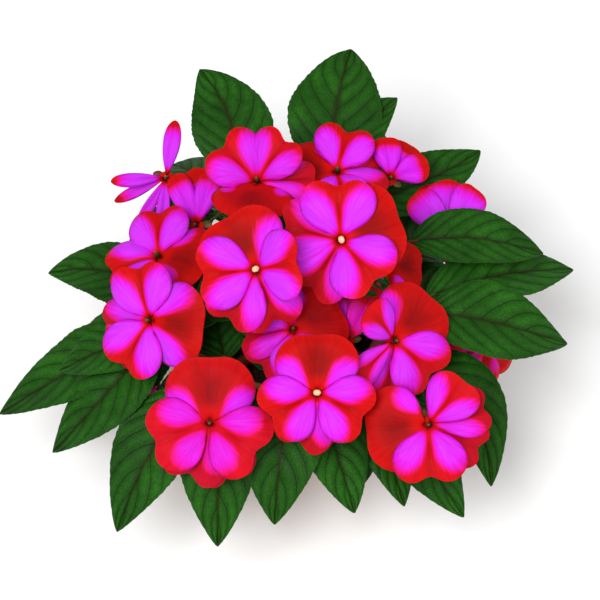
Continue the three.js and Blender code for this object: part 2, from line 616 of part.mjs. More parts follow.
for (const [name, bloom] of Object.entries(BLOOMS)) {
  addFlower(name, bloom, HUB.back, [
    [name, bloomSolid(bloom), MATERIALS.petal],
    [name.replace('bloom', 'eye'), eyeSolid(bloom.eye), MATERIALS[bloom.eye]],
  ]);
}
for (const [name, bud] of Object.entries(BUDS)) {
  addFlower(name, bud, BUD.length / 2, [[name, budSolid(), MATERIALS.petal]]);
}
for (const [name, solid] of Object.entries(stemSolids)) addObstacle(solid, name);

for (const leaf of leafList()) {
  const grown = BENDS.map((bend) => bentLeaf(leaf, bend)).find(isClear);
  if (!grown) continue;
  const solid = leafSolid(grown, 0);
  stemSolids[leaf.stem] = stemSolids[leaf.stem].add(solid);
  addObstacle(solid, leaf.stem, leafSolid(grown, 0, true));
}
for (const [name, solid] of Object.entries(stemSolids)) addMesh(plant, name, solid, MATERIALS.leaf);

export default plant;
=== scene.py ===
from collections import namedtuple
from math import cos, pi, radians, sin, sqrt

import bpy
import numpy as np
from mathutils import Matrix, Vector


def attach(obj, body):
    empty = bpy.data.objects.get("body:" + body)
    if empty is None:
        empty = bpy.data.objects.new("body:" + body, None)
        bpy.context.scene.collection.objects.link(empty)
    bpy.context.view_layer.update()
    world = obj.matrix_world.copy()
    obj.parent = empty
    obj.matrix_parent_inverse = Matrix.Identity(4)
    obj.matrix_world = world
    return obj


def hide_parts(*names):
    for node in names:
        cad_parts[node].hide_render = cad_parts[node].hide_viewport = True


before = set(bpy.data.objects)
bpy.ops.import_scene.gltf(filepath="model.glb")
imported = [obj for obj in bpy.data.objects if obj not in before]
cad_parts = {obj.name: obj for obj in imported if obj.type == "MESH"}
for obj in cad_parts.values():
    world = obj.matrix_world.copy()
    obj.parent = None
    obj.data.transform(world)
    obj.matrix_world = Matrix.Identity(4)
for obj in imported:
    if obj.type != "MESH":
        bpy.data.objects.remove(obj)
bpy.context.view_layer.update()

MM = 0.001
rng = np.random.default_rng(57)

# The view: how high the camera stands, the point it looks at, its distance and the width it frames there
VIEW_ELEVATION = radians(57)
VIEW_TARGET = np.array([6.6, -19.8, 142.1])
VIEW_DISTANCE = 1300.0
VIEW_WIDTH = 330.0
SENSOR = 36.0

# Sizes shared with the solid model, in mm, and shares of a length
POT = dict(height=105.0, base=43.0, body_top=57.0, rim=61.0, rim_height=22.0, lip_inner=57.5, wall=5.0,
           floor=6.0, holes=4, hole_radius=4.0, hole_ring=24.0)
SOIL_TOP = 92.0
GAP = 0.35
STEM_FOOT_RADIUS = 3.9
STEM_CROWN_RADIUS = 2.5
STALK_RADIUS = 1.0
HUB_BACK = 6.4
STALK_START = 0.97
PETIOLE_SHARE = 0.17
LEAF_BEND = 0.45
PETAL_CLAW = 3.4
BUD_LENGTH = 17.0

# Sheets: half their thickness, and the rows and columns of points along and across them
PETAL_HALF = 0.28
PETAL_ROWS = 24
PETAL_COLUMNS = 39
SEPAL_HALF = 0.2
LEAF_HALF = 0.26
LEAF_ROWS = 60
LEAF_COLUMNS = 23

# Relief of a petal: how far it cups back, how deep and wide its throat is, how high its two lobes swell, how
# deep its crease is, how far its tip and sides curl back, and how high its ruffles are
PETAL_CUP = 2.0
THROAT_DEPTH = 2.6
THROAT_WIDTH = 3.2
LOBE_HEIGHT = 2.8
CREASE_DEPTH = 1.4
TIP_CURL = 1.3
SIDE_CURL = 0.7
RUFFLE = 0.9

# Relief of a leaf: its teeth on each side, how high its quilting swells, how deep its grooves and midrib sink
LEAF_TEETH = 21
QUILT_HEIGHT = 0.42
GROOVE_DEPTH = 0.3
MIDRIB_DEPTH = 0.55

# Stems: how far their root reaches down below the foot, their knots, and the small leaves at their crown
ROOT_DEPTHS = (27.5, 14, 5)
KNOTS = 4
CROWN_LEAVES = 4
CROWN_LEAF_HALF = 2.4

# Crumbs of soil: how many, and their least and greatest size
CRUMBS = 420
CRUMB_SIZES = (0.7, 2.0)

# The floor's half width, the strength of the white world, and the point that the lights look at, in metres
FLOOR_HALF = 6.0
WORLD_STRENGTH = 0.52
LIGHT_TARGET = (0, 0, 0.14)

# Lights: place and width in metres, and power in watts
LIGHTS = {
    "key": ((-0.45, -0.95, 1.85), 0.9, 35),
    "fill": ((1.2, -0.5, 1.1), 0.9, 6),
}

# Directions: out of a flower that faces the view, up and right across it, and up in the part
FACE = np.array([0.0, -cos(VIEW_ELEVATION), sin(VIEW_ELEVATION)])
FACE_UP = np.array([0.0, sin(VIEW_ELEVATION), cos(VIEW_ELEVATION)])
FACE_RIGHT = np.array([1.0, 0.0, 0.0])
UP = np.array([0.0, 0.0, 1.0])

# Stems: the foot on the soil and the crown
STEMS = {
    "back_left": ((-18, 20), (-33, 42, 142)),
    "back": ((10, 27), (24, 48, 142)),
    "back_right": ((31, 13), (56, 12, 146)),
    "right": ((36, -12), (62, -28, 142)),
    "front_right": ((22, -30), (50, -60, 124)),
    "front": ((3, -36), (12, -64, 124)),
    "front_left": ((-20, -30), (-38, -62, 122)),
    "left": ((-36, -6), (-70, -30, 128)),
    "middle": ((-2, -4), (4, -12, 168)),
}

# How the petals stand in a bloom, in the order of PETALS: their angles from the bloom's turn, and their tilts
SET_PLAIN = (0, 102, -102, 158, -158)
SET_LOW = (0, 117, -117, 160, -160)
SET_WIDE = (0, 108, -122, 158, -160)
SET_EVEN = (0, 72, -72, 144, -144)
SET_LEFT = (0, 84, -137, 147, -172)
SET_RIGHT = (0, 95, -87, 175, -137)
SET_ROUND = (0, 68, -108, 122, 172)
SET_SIDE = (0, 110, -112, -160, -140)
SET_FLAT = (0, 105, -148, 165, -172)
SET_HIGH = (0, 145, -125, 100, -170)
SET_OPEN = (0, 104, -175, 123, 158)
SET_FAN = (0, 40, -34, 20, -16)
SET_CLOSED = (0, 22, -20, 11, -10)
TILTS = (0, 8, 8, -5, -5)

# Blooms: stem, centre, width across, direction of the standard petal, lean to the right and up, what stands
# in the throat, how far violet spreads on the other petals (0 to 1), and further facts: how far it spreads on
# the standard ("fan"), the petals' angles and tilts, how slim all or each are, how rosy their red is, and
# where on the stem the stalk begins
Bloom = namedtuple("Bloom", "stem at across turn lean eye spread facts")
BLOOM_ROWS = {
    "01": ("front_left", (-41, -104, 153), 69, 90, (0, 0), "ovary", 0.5,
           {"fan": 0.55, "angles": SET_WIDE, "rosy": 0.6}),
    "02": ("front", (15.5, -95, 168.5), 63, 90, (0, 0), "cap", 0.75, {"fan": 0.7, "angles": SET_LOW}),
    "03": ("front_right", (74, -105.5, 154), 66, 188, (0, 0), "ovary", 0.7,
           {"fan": 0.45, "angles": SET_LEFT, "slims": (1, 1, 0.7, 0.85, 0.8),
            "tilts": (0, 6, 22, -5, 4), "rosy": 0.3}),
    "04": ("right", (57, -61, 166), 65, 46, (20, 0), "ovary", 0.7,
           {"fan": 0.5, "angles": SET_RIGHT, "slims": (1, 0.55, 1, 0.5, 0.95),
            "tilts": (0, 34, 6, 14, -5), "rosy": 0.3}),
    "05": ("middle", (-16.5, -39, 201), 66, 118, (0, 0), "cap", 0.85,
           {"fan": 0.7, "angles": SET_ROUND, "tilts": (0, 8, 42, 0, -5)}),
    "06": ("middle", (28, -25, 208), 68, 22, (0, 0), "cap", 0.8,
           {"fan": 0.3, "angles": SET_EVEN, "tilts": (0, 8, 18, -5, -5)}),
    "07": ("left", (-74, -48, 166), 65, -8, (-27, 0), "ovary", 0.85, {"fan": 0.9, "angles": SET_SIDE}),
    "08": ("left", (-71, -4, 162), 62, -5, (-20, 38), "ovary", 0.85,
           {"fan": 0.5, "angles": SET_FLAT, "tilts": (0, 16, 8, -5, -5)}),
    "09": ("back_left", (-17, 29, 186), 64, 265, (-4, 30), "ovary", 0.75,
           {"fan": 0.1, "angles": SET_HIGH, "slims": (1, 0.85, 1, 0.7, 1),
            "tilts": (24, 30, 30, 6, 14), "rosy": 0.4}),
    "10": ("back", (27, 46, 172), 58, 175, (4, 32), "ovary", 0.8, {"fan": 0.2, "tilts": (0, 8, 20, -5, -5)}),
    "11": ("back_left", (-69, 57, 151), 62, 81, (0, 0), "ovary", 0.8,
           {"fan": 0.8, "angles": SET_OPEN, "slim": 0.27}),
    "12": ("back_left", (-51, 20, 157), 62, 92, (-10, 10), "ovary", 0.5,
           {"fan": 0.3, "angles": SET_CLOSED, "slim": 0.42}),
    "13": ("back_right", (91, 27, 138), 60, 94, (10, 10), "ovary", 0.8,
           {"fan": 0.8, "angles": SET_FAN, "slim": 0.55, "from": 0.8}),
    "14": ("back", (57, 50, 160), 46, 55, (10, 10), "ovary", 0.4, {"angles": SET_FAN, "slim": 0.6}),
    "15": ("front", (3, -52, 163), 58, 25, (0, 12), "ovary", 0.75, {"fan": 0.15, "rosy": 0.5}),
    "16": ("front", (32, -51.5, 149), 66, 96, (0, 0), "ovary", 0.2,
           {"fan": 0.1, "angles": SET_FAN, "slim": 0.5, "rosy": 0.8}),
    "17": ("right", (111, -22, 99), 50, 0, (35, -10), "ovary", 0.0, {"fan": 0.0, "rosy": 0.8}),
    "18": ("back_right", (55, -11, 162), 42, 0, (20, 10), "ovary", 0.1, {"fan": 0.0}),
    "19": ("back", (-5, 88, 125), 56, 90, (0, 95), "cap", 0.85, {"fan": 0.7}),
    "20": ("back_right", (66, 80, 110), 56, 60, (30, 90), "ovary", 0.7, {"fan": 0.5}),
}
BLOOMS = {number: Bloom(*row) for number, row in BLOOM_ROWS.items()}

# Buds: stem, centre, lean to the right and up
BUDS = {
    "bud_01": ("left", (-77, -64, 118), (-20, 10)),
    "bud_02": ("back_left", (-60, 78, 118), (-40, 80)),
}

# Petals: half spread in degrees, reach, depth of the notch, how far forward they lie, how strongly lobed
PETALS = {
    "standard": (82, 1.06, 0.09, 0.0, 0.4),
    "left": (67, 1.02, 0.17, 1.4, 1.0),
    "right": (67, 1.02, 0.17, 1.4, 1.0),
    "low_left": (54, 1.05, 0.18, -1.4, 0.8),
    "low_right": (54, 1.05, 0.18, -2.8, 0.8),
}

# Leaves placed one by one: stem, tip, half width, arch, bow and where on the stem they grow
PLACED_LEAVES = [
    ("back_left", (-51, 126, 161), 23, 8, 10, 0.96),
    ("back", (36, 140, 162), 27, 8, -3, 0.96),
    ("back", (62, 107, 159), 15, 8, -5, 0.9),
    ("back", (110, 85, 138), 20, 4, 8, 0.82),
    ("back_right", (142, 13, 139), 19, 14, 0, 0.96),
    ("right", (161, 16, 118), 19, 14, 0, 0.96),
    ("right", (153, -40, 129), 24, 16, 5, 0.96),
    ("front_right", (111, -110, 95), 20, 16, -22, 0.96),
    ("front_right", (95, -129, 95), 20, 12, 4, 0.96),
    ("front_right", (63, -124, 98), 15, 2, 0, 0.78),
    ("front", (36, -127, 96), 19, 12, 0, 0.96),
    ("front", (-7, -136, 96), 23, 16, 4, 0.96),
    ("front_left", (-38, -142, 86), 22, 18, 0, 0.96),
    ("front_left", (-93, -131, 82), 22, 18, 5, 0.96),
    ("left", (-130, -85, 88), 21, 18, -8, 0.96),
    ("left", (-162, -57, 82), 20, 14, -4, 0.86),
    ("left", (-126, -50, 117), 17, 14, -6, 0.96),
    ("left", (-135, 12, 121), 20, 12, 10, 0.9),
    ("front_left", (-44, -6, 128), 18, 4, 0, 0.8),
    ("left", (-26, -20, 140), 15, 3, 0, 0.9),
    ("front", (-26, -36, 128), 15, 2, 0, 0.8),
]

# Whorls: stem, share of its height, count, middle direction, spread, length, fall of the tip, half width
WHORLS = [
    ("front_right", 0.62, 2, -50, 70, 52, 42, 17),
    ("front", 0.62, 2, -88, 50, 50, 42, 17),
    ("front_left", 0.62, 2, -125, 70, 54, 42, 17),
    ("left", 0.6, 3, 178, 80, 72, 44, 19),
    ("right", 0.6, 3, -8, 80, 78, 46, 19),
    ("back_right", 0.55, 3, 38, 80, 80, 44, 20),
    ("back", 0.5, 3, 78, 80, 80, 48, 20),
    ("back_left", 0.55, 3, 130, 90, 74, 50, 20),
    ("back_left", 0.95, 2, 160, 70, 62, 26, 18),
    ("back", 0.8, 2, 95, 60, 76, 26, 20),
    ("middle", 0.93, 5, 56, 288, 58, 14, 18),
    ("middle", 0.5, 5, 200, 288, 56, 8, 18),
]
WHORL_ARCH = 10
WHORL_UNEVEN = 0.06

Leaf = namedtuple("Leaf", "stem base tip half arch bow")

# The bends that a leaf may have taken: turn in degrees, lift, share of its length, change of its arch
BENDS = [
    (0, 0, 1, 0), (0, 0, 1, -8), (0, 4, 1, 4), (0, -5, 1, -4), (4, 0, 1, 0), (-4, 0, 1, 0), (0, -9, 1, 0),
    (8, -4, 1, 0), (-8, -4, 1, 0), (0, 8, 1, 0), (0, -4, 0.9, -6), (14, -4, 0.95, 0), (-14, -4, 0.95, 0),
    (0, -14, 0.95, -6), (22, -6, 0.9, 0), (-22, -6, 0.9, 0), (10, -14, 0.85, -4), (-10, -14, 0.85, -4),
    (0, -8, 0.78, -6), (16, -8, 0.78, -6), (-16, -8, 0.78, -6),
]

# How near to a corner of the solid a bent tip must be, and by how much a later bend must be nearer
TIP_TOLERANCE = 0.55
BEND_GAIN = 0.02

# Side veins of a leaf: how many a side, where the first lies, how far they sweep towards the tip, how much
# less they do so near it, and how they curve. The leaf's mesh and its material both use them.
VEINS = 6.5
VEIN_START = 0.25
VEIN_SWEEP = 0.42
VEIN_EASE = 0.35
VEIN_CURVE = 1.3


def unit(v):
    v = np.asarray(v, float)
    return v / np.linalg.norm(v)


def units(rows):
    """Each row of vectors at length one."""
    return rows / np.linalg.norm(rows, axis=1, keepdims=True)


def smooth(edge0, edge1, x):
    t = np.clip((x - edge0) / (edge1 - edge0), 0, 1)
    return t * t * (3 - 2 * t)


def wobble(x, y, seed):
    """A smooth irregular wave between about -1 and 1."""
    slow = np.sin(1.7 * x + 2.3 * seed) * np.cos(1.3 * y - 1.1 * seed)
    return (slow + 0.6 * np.sin(2.9 * y + 3.7 * seed + x)) / 1.6


# Mesh helpers

def new_object(name, data):
    made = bpy.data.objects.new(name, data)
    bpy.context.scene.collection.objects.link(made)
    return made


class Builder:
    """Collects vertices, faces, UVs, material numbers and point attributes, and makes one object of them."""

    def __init__(self, attributes=()):
        self.points, self.faces, self.uvs, self.numbers = [], [], [], []
        self.attributes = {name: [] for name in attributes}
        self.count = 0

    def add(self, points, faces, uv=None, material=0, **attributes):
        points = np.asarray(points, float)
        self.points.append(points)
        self.uvs.append(np.zeros((len(points), 2)) if uv is None else uv)
        self.add_faces(faces, material, self.count)
        for name, values in self.attributes.items():
            values.append(np.broadcast_to(np.asarray(attributes.get(name, 0.0), float), len(points)))
        self.count += len(points)

    def add_faces(self, faces, material, start):
        """Faces between points that are counted from the given one."""
        for face in faces:
            self.faces.append(tuple(int(i) + start for i in face))
        self.numbers.append(np.full(len(faces), material, int))

    def object(self, name, materials, sharp_angle=50):
        mesh = bpy.data.meshes.new(name)
        points = np.vstack(self.points) * MM
        mesh.from_pydata(points.tolist(), [], self.faces)
        for material in materials:
            mesh.materials.append(MATERIALS[material])
        mesh.polygons.foreach_set("material_index", np.concatenate(self.numbers).astype(np.int32))
        corner = np.empty(len(mesh.loops), np.int32)
        mesh.loops.foreach_get("vertex_index", corner)
        layer = mesh.uv_layers.new(name="UVMap")
        layer.data.foreach_set("uv", np.vstack(self.uvs)[corner].astype(np.float32).ravel())
        for key, values in self.attributes.items():
            attribute = mesh.attributes.new(key, "FLOAT", "POINT")
            attribute.data.foreach_set("value", np.concatenate(values).astype(np.float32))
        mesh.polygons.foreach_set("use_smooth", np.ones(len(mesh.polygons), bool))
        mesh.set_sharp_from_angle(angle=radians(sharp_angle))
        mesh.update()
        return new_object(name, mesh)


def grid_faces(rows, columns):
    r, c = np.meshgrid(np.arange(rows - 1), np.arange(columns - 1), indexing="ij")
    a = (r * columns + c).ravel()
    return np.stack([a, a + 1, a + columns + 1, a + columns], 1)


def sheet_mesh(front, back):
    """Points and faces of a thin closed sheet between two grids of points, rows by columns."""
    rows, columns = front.shape[:2]
    points = np.vstack([front.reshape(-1, 3), back.reshape(-1, 3)])
    half = rows * columns
    rim = list(range(columns)) + [r * columns + columns - 1 for r in range(1, rows)]
    rim += [(rows - 1) * columns + c for c in range(columns - 2, -1, -1)]
    rim += [r * columns for r in range(rows - 2, 0, -1)]
    rim = np.array(rim)
    following = np.roll(rim, -1)
    walls = np.stack([following, rim, rim + half, following + half], 1)
    faces = grid_faces(rows, columns)
    return points, np.vstack([faces, faces[:, ::-1] + half, walls])


def thick_sheet(grid, out, half):
    """A closed sheet around a grid of points, with its front on the side that out points to.

    Gives its points, its faces, and at each point 1 where the grid's own normal looks that way, else -1.
    """
    normal = np.cross(np.gradient(grid, axis=1), np.gradient(grid, axis=0))
    normal = normal / np.maximum(np.linalg.norm(normal, axis=2, keepdims=True), 1e-9)
    way = np.sign((normal * out).sum(2, keepdims=True) + 1e-9)
    normal = normal * way
    points, faces = sheet_mesh(grid + normal * half, grid - normal * half)
    return points, faces, way


def both_sides(uv, masks):
    """The UVs and attributes of a sheet's points: the front's, and the same again for the back."""
    doubled = {key: np.tile(mask.ravel(), 2) for key, mask in masks.items()}
    doubled["back"] = np.repeat([0.0, 1.0], uv.shape[0] * uv.shape[1])
    return np.tile(uv.reshape(-1, 2), (2, 1)), doubled


def bezier(points, t):
    """A quadratic or cubic curve through its first and last control points."""
    points = [np.asarray(p, float) for p in points]
    t = np.asarray(t, float)[..., None]
    if len(points) == 3:
        return (1 - t) ** 2 * points[0] + 2 * t * (1 - t) * points[1] + t ** 2 * points[2]
    a, b, c, d = points
    return (1 - t) ** 3 * a + 3 * t * (1 - t) ** 2 * b + 3 * t ** 2 * (1 - t) * c + t ** 3 * d


def ring_faces(rings, sides):
    """Faces between rings of points that follow one another."""
    around = np.arange(sides)
    following = (around + 1) % sides
    start = np.arange(rings - 1)[:, None] * sides
    corners = (start + around, start + following, start + sides + following, start + sides + around)
    return np.stack(corners, 2).reshape(-1, 4)


def tube(builder, path, radii, sides, material, **attributes):
    """A round tube along a path, closed at both ends."""
    along = units(np.gradient(path, axis=0))
    across = units(np.cross(along, (1.0, 0.1, 0.05)))
    third = np.cross(along, across)
    turn = np.linspace(0, 2 * np.pi, sides, endpoint=False)
    ring = across[:, None] * np.cos(turn)[None, :, None] + third[:, None] * np.sin(turn)[None, :, None]
    points = path[:, None] + ring * radii[:, None, None]
    count = len(path)
    uv = np.stack(np.broadcast_arrays(turn[None, :] / (2 * np.pi), np.linspace(0, 1, count)[:, None]), 2)
    builder.add(points.reshape(-1, 3), ring_faces(count, sides), uv.reshape(-1, 2), material, **attributes)
    ends = (np.arange(sides)[::-1], np.arange(sides) + (count - 1) * sides)
    builder.add_faces(ends, material, builder.count - count * sides)


def lathe(builder, profile, sides, bend=None):
    """A turned surface about Z from a profile of (radius, height) pairs that starts and ends on the axis."""
    turn = np.linspace(0, 2 * np.pi, sides, endpoint=False)
    radius, height = np.asarray(profile, float).T[:, :, None]
    rings = len(profile) - 2
    x = radius[1:-1] * np.cos(turn)
    y = radius[1:-1] * np.sin(turn)
    z = np.repeat(height[1:-1], sides, 1)
    ends = [[0, 0, height[0, 0]], [0, 0, height[-1, 0]]]
    points = np.vstack([np.stack([x, y, z], 2).reshape(-1, 3), ends])
    if bend is not None:
        points = bend(points)
    bottom, top, last = rings * sides, rings * sides + 1, (rings - 1) * sides
    low = [(bottom, (k + 1) % sides, k) for k in range(sides)]
    high = [(top, last + k, last + (k + 1) % sides) for k in range(sides)]
    builder.add(points, ring_faces(rings, sides))
    builder.add_faces(low + high, 0, builder.count - len(points))


# Materials

def rgb(red, green, blue):
    """A colour given in screen values from 0 to 255."""
    def channel(v):
        v /= 255
        return v / 12.92 if v <= 0.04045 else ((v + 0.055) / 1.055) ** 2.4
    return channel(red), channel(green), channel(blue), 1.0


class Nodes:
    """A few short calls for building a node tree."""

    def __init__(self, name):
        self.material = bpy.data.materials.new(name)
        self.material.use_nodes = True
        self.tree = self.material.node_tree
        self.shader = self.tree.nodes["Principled BSDF"]

    def node(self, kind, **values):
        made = self.tree.nodes.new(kind)
        for key, value in values.items():
            if hasattr(made, key):
                setattr(made, key, value)
            else:
                made.inputs[key.replace("_", " ")].default_value = value
        return made

    def link(self, source, target):
        self.tree.links.new(source, target)

    def feed(self, pairs):
        """Sets each socket to its number or colour, or links it to its source."""
        for socket, value in pairs:
            if isinstance(value, (int, float, tuple)):
                socket.default_value = value
            else:
                self.link(value, socket)

    def attribute(self, name):
        return self.node("ShaderNodeAttribute", attribute_name=name).outputs["Fac"]

    def mapped(self, coordinates, scale):
        mapping = self.node("ShaderNodeMapping", Scale=scale)
        self.link(coordinates, mapping.inputs[0])
        return mapping.outputs[0]

    def uv(self, scale=(1, 1, 1)):
        return self.mapped(self.node("ShaderNodeUVMap", uv_map="UVMap").outputs[0], scale)

    def place(self, scale=(1, 1, 1)):
        return self.mapped(self.node("ShaderNodeTexCoord").outputs["Object"], scale)

    def noise(self, vector, scale, detail=3.0, roughness=0.55):
        made = self.node("ShaderNodeTexNoise", Scale=scale, Detail=detail, Roughness=roughness)
        self.link(vector, made.inputs["Vector"])
        return made.outputs["Fac"]

    def paint(self, colour):
        self.link(colour, self.shader.inputs["Base Color"])

    def plus(self, a, b):
        return self.math("ADD", a, b)

    def times(self, a, b):
        return self.math("MULTIPLY", a, b)

    def scaled(self, a, factor, added):
        return self.math("MULTIPLY_ADD", a, factor, added)

    def math(self, operation, a, b=0.0, c=0.0, clamp=False):
        made = self.node("ShaderNodeMath", operation=operation, use_clamp=clamp)
        self.feed(zip(made.inputs, (a, b, c)))
        return made.outputs[0]

    def ramp(self, value, low, high, out_low=0.0, out_high=1.0):
        made = self.node("ShaderNodeMapRange", interpolation_type="SMOOTHSTEP")
        self.link(value, made.inputs["Value"])
        for key, number in zip(("From Min", "From Max", "To Min", "To Max"), (low, high, out_low, out_high)):
            made.inputs[key].default_value = number
        return made.outputs["Result"]

    def mix(self, factor, a, b):
        made = self.node("ShaderNodeMix", data_type="RGBA")
        self.feed(((made.inputs[0], factor), (made.inputs[6], a), (made.inputs[7], b)))
        return made.outputs[2]

    def bump(self, height, strength, distance):
        made = self.node("ShaderNodeBump", Strength=strength, Distance=distance)
        self.link(height, made.inputs["Height"])
        self.link(made.outputs[0], self.shader.inputs["Normal"])

    def surface(self, roughness, specular=0.5):
        self.shader.inputs["Roughness"].default_value = roughness
        self.shader.inputs["Specular IOR Level"].default_value = specular


SCARLET = rgb(196, 10, 3)
DEEP_RED = rgb(120, 4, 1)
VIOLET = rgb(208, 28, 226)
# Paler violet: the patches' own paler middle, and a painted velvet sheen where fine streaks lift it
PALE_VIOLET = rgb(200, 52, 236)
MAGENTA = rgb(214, 16, 142)
PINK = rgb(216, 14, 104)
ROSE = rgb(196, 10, 52)
# Crimson: the own colour of the petals' backs and spurs, and the painted shade along their rims
CRIMSON = rgb(138, 4, 40)
# Painted shade for the hollow of a bloom's throat
THROAT = rgb(70, 2, 8)
LEAF_DARK = rgb(11, 34, 5)
LEAF_GREEN = rgb(27, 72, 13)
# Lighter leaf green: random mottling, and the painted highlights on the swells between the veins
LEAF_LIGHT = rgb(46, 112, 25)
LEAF_BACK = rgb(74, 104, 52)
MIDRIB = rgb(30, 30, 9)
STEM_GREEN = rgb(62, 88, 32)
STEM_RED = rgb(112, 34, 26)
STEM_STRIPE = rgb(36, 54, 18)
CAP_COLOURS = (rgb(214, 120, 104), rgb(238, 206, 160), rgb(214, 164, 116))
OVARY_COLOURS = (rgb(22, 34, 12), rgb(86, 112, 52), rgb(14, 22, 8))
CLAY_DARK = rgb(176, 98, 62)
CLAY_LIGHT = rgb(200, 122, 82)
CLAY_LIME = rgb(222, 190, 164)
CLAY_GRIT = rgb(120, 62, 40)
SOIL_DARK = rgb(30, 20, 13)
SOIL_BROWN = rgb(74, 52, 35)
SOIL_FLECK = rgb(112, 84, 58)
FLOOR_WHITE = rgb(252, 252, 252)
FLOOR_GREY = rgb(244, 244, 245)

# Of these masks, edge and throat mark where painted shade goes.
PETAL_ATTRIBUTES = ("violet", "deep", "throat", "edge", "back", "rosy")


def petal_material():
    """Velvety petals: scarlet or rosy red, violet patches with a pink border and fine veins, painted shade
    along the rims and in the throat, and a painted velvet sheen of paler violet streaks.
    """
    n = Nodes("petal")
    violet, deep, throat, edge, back, rosy = (n.attribute(name) for name in PETAL_ATTRIBUTES)
    fine = n.noise(n.uv((46, 2.2, 1)), 1.0, 4.0, 0.6)
    coarse = n.noise(n.uv((9, 3, 1)), 1.0, 3.0, 0.5)
    streak = n.scaled(fine, 0.36, -0.18)
    cloud = n.scaled(coarse, 0.22, -0.11)
    veiled = n.times(n.plus(streak, cloud), n.ramp(violet, 0.02, 0.25))
    mask = n.plus(violet, veiled)
    red = n.mix(n.math("ADD", deep, n.scaled(cloud, 1.9, 0.06), clamp=True), SCARLET, DEEP_RED)
    red = n.mix(n.times(rosy, 0.6), red, ROSE)
    # Paler violet fills the middle of each patch, its own colour; where the fine streaks lift it, it is a
    # painted velvet sheen.
    bloomed = n.mix(n.ramp(mask, 0.75, 1.2), VIOLET, PALE_VIOLET)
    bloomed = n.mix(n.times(rosy, n.ramp(mask, 1.3, 0.7)), bloomed, MAGENTA)
    colour = n.mix(n.ramp(mask, 0.06, 0.36), red, PINK)
    colour = n.mix(n.ramp(mask, 0.26, 0.84), colour, bloomed)
    colour = n.mix(n.times(back, 0.7), colour, CRIMSON)
    # Painted shade: a dark crimson line along the rims, for the shadow where petals overlap.
    colour = n.mix(n.times(edge, 0.85), colour, CRIMSON)
    # Painted shade: near black in the throat's hollow.
    colour = n.mix(throat, colour, THROAT)
    shade = n.ramp(fine, 0.3, 0.7, 0.84, 1.05)
    tint = n.node("ShaderNodeVectorMath", operation="SCALE")
    n.link(colour, tint.inputs[0])
    n.link(shade, tint.inputs["Scale"])
    n.paint(tint.outputs[0])
    n.bump(n.plus(n.times(fine, 0.7), n.times(coarse, 0.5)), 0.25, 0.0006)
    n.surface(0.6, 0.07)
    return n.material


def leaf_material():
    """Quilted leaves: soft ridges between sunk dark veins, with painted highlights on the ridges, a reddish
    midrib and a paler underside.
    """
    n = Nodes("leaf")
    split = n.node("ShaderNodeSeparateXYZ")
    n.link(n.uv(), split.inputs[0])
    side = n.scaled(split.outputs["X"], 2.0, -1.0)
    along = split.outputs["Y"]
    across = n.math("ABSOLUTE", side)
    sweep = n.times(n.math("POWER", across, VEIN_CURVE), n.scaled(along, -VEIN_EASE * VEIN_SWEEP, VEIN_SWEEP))
    phase = n.scaled(n.math("SUBTRACT", along, sweep), VEINS, VEIN_START + 100)
    phase = n.plus(phase, n.times(n.math("GREATER_THAN", side, 0.0), 0.5))
    near = n.times(n.math("ABSOLUTE", n.math("SUBTRACT", n.math("FRACT", phase), 0.5)), 2.0)
    inner = n.ramp(across, 0.97, 0.8)
    groove = n.times(n.ramp(near, 0.9, 0.99), inner)
    swell = n.times(n.ramp(near, 0.9, 0.1), inner)
    place = n.place()
    mottle = n.noise(place, 210.0, 4.0, 0.65)
    cloud = n.noise(place, 38.0, 2.0)
    cell = n.node("ShaderNodeTexVoronoi", feature="DISTANCE_TO_EDGE", Scale=620.0)
    n.link(place, cell.inputs["Vector"])
    net = n.ramp(cell.outputs["Distance"], 0.0, 0.2)
    # Painted highlight: the swells between the veins turn lighter, as if lit on top.
    bright = n.scaled(swell, 0.24, n.scaled(mottle, 0.8, -0.9))
    bright = n.plus(n.scaled(cloud, 1.3, bright), n.attribute("tone"))
    body = n.mix(n.ramp(bright, 0.0, 1.15), LEAF_GREEN, LEAF_LIGHT)
    body = n.mix(n.ramp(bright, 0.15, -0.55), body, LEAF_DARK)
    body = n.mix(n.times(n.math("SUBTRACT", 1.0, net), 0.35), body, LEAF_DARK)
    body = n.mix(n.times(groove, 0.7), body, LEAF_DARK)
    colour = n.mix(n.times(n.attribute("back"), 0.75), body, LEAF_BACK)
    n.paint(n.mix(n.times(n.attribute("rib"), 0.8), colour, MIDRIB))
    n.link(n.ramp(mottle, 0.3, 0.7, 0.42, 0.56), n.shader.inputs["Roughness"])
    relief = n.scaled(swell, 0.5, n.times(net, 0.16))
    n.bump(n.math("SUBTRACT", n.scaled(mottle, 0.22, relief), n.times(groove, 0.5)), 0.7, 0.0007)
    n.shader.inputs["Specular IOR Level"].default_value = 0.08
    return n.material


def stem_material():
    """Juicy stems and stalks: green, flushed red, with faint stripes."""
    n = Nodes("stem")
    stripes = n.noise(n.uv((14, 3, 1)), 1.0, 3.0)
    flush = n.noise(n.place((30, 30, 18)), 1.0, 3.0)
    colour = n.mix(n.ramp(flush, 0.35, 0.62), STEM_GREEN, STEM_RED)
    n.paint(n.mix(n.times(stripes, 0.35), colour, STEM_STRIPE))
    n.bump(stripes, 0.3, 0.0004)
    n.surface(0.45, 0.2)
    return n.material


def eye_material(name, grains, heights, colours, depth, *surface):
    """What stands in a throat: one colour at its foot, another at its tip, and a grain of the third."""
    n = Nodes(name)
    grain = n.noise(n.place(grains), 1.0, 3.0)
    colour = n.mix(n.ramp(n.attribute("height"), *heights), colours[0], colours[1])
    n.paint(n.mix(n.times(grain, 0.35), colour, colours[2]))
    n.bump(grain, depth, 0.0002)
    n.surface(*surface)
    return n.material


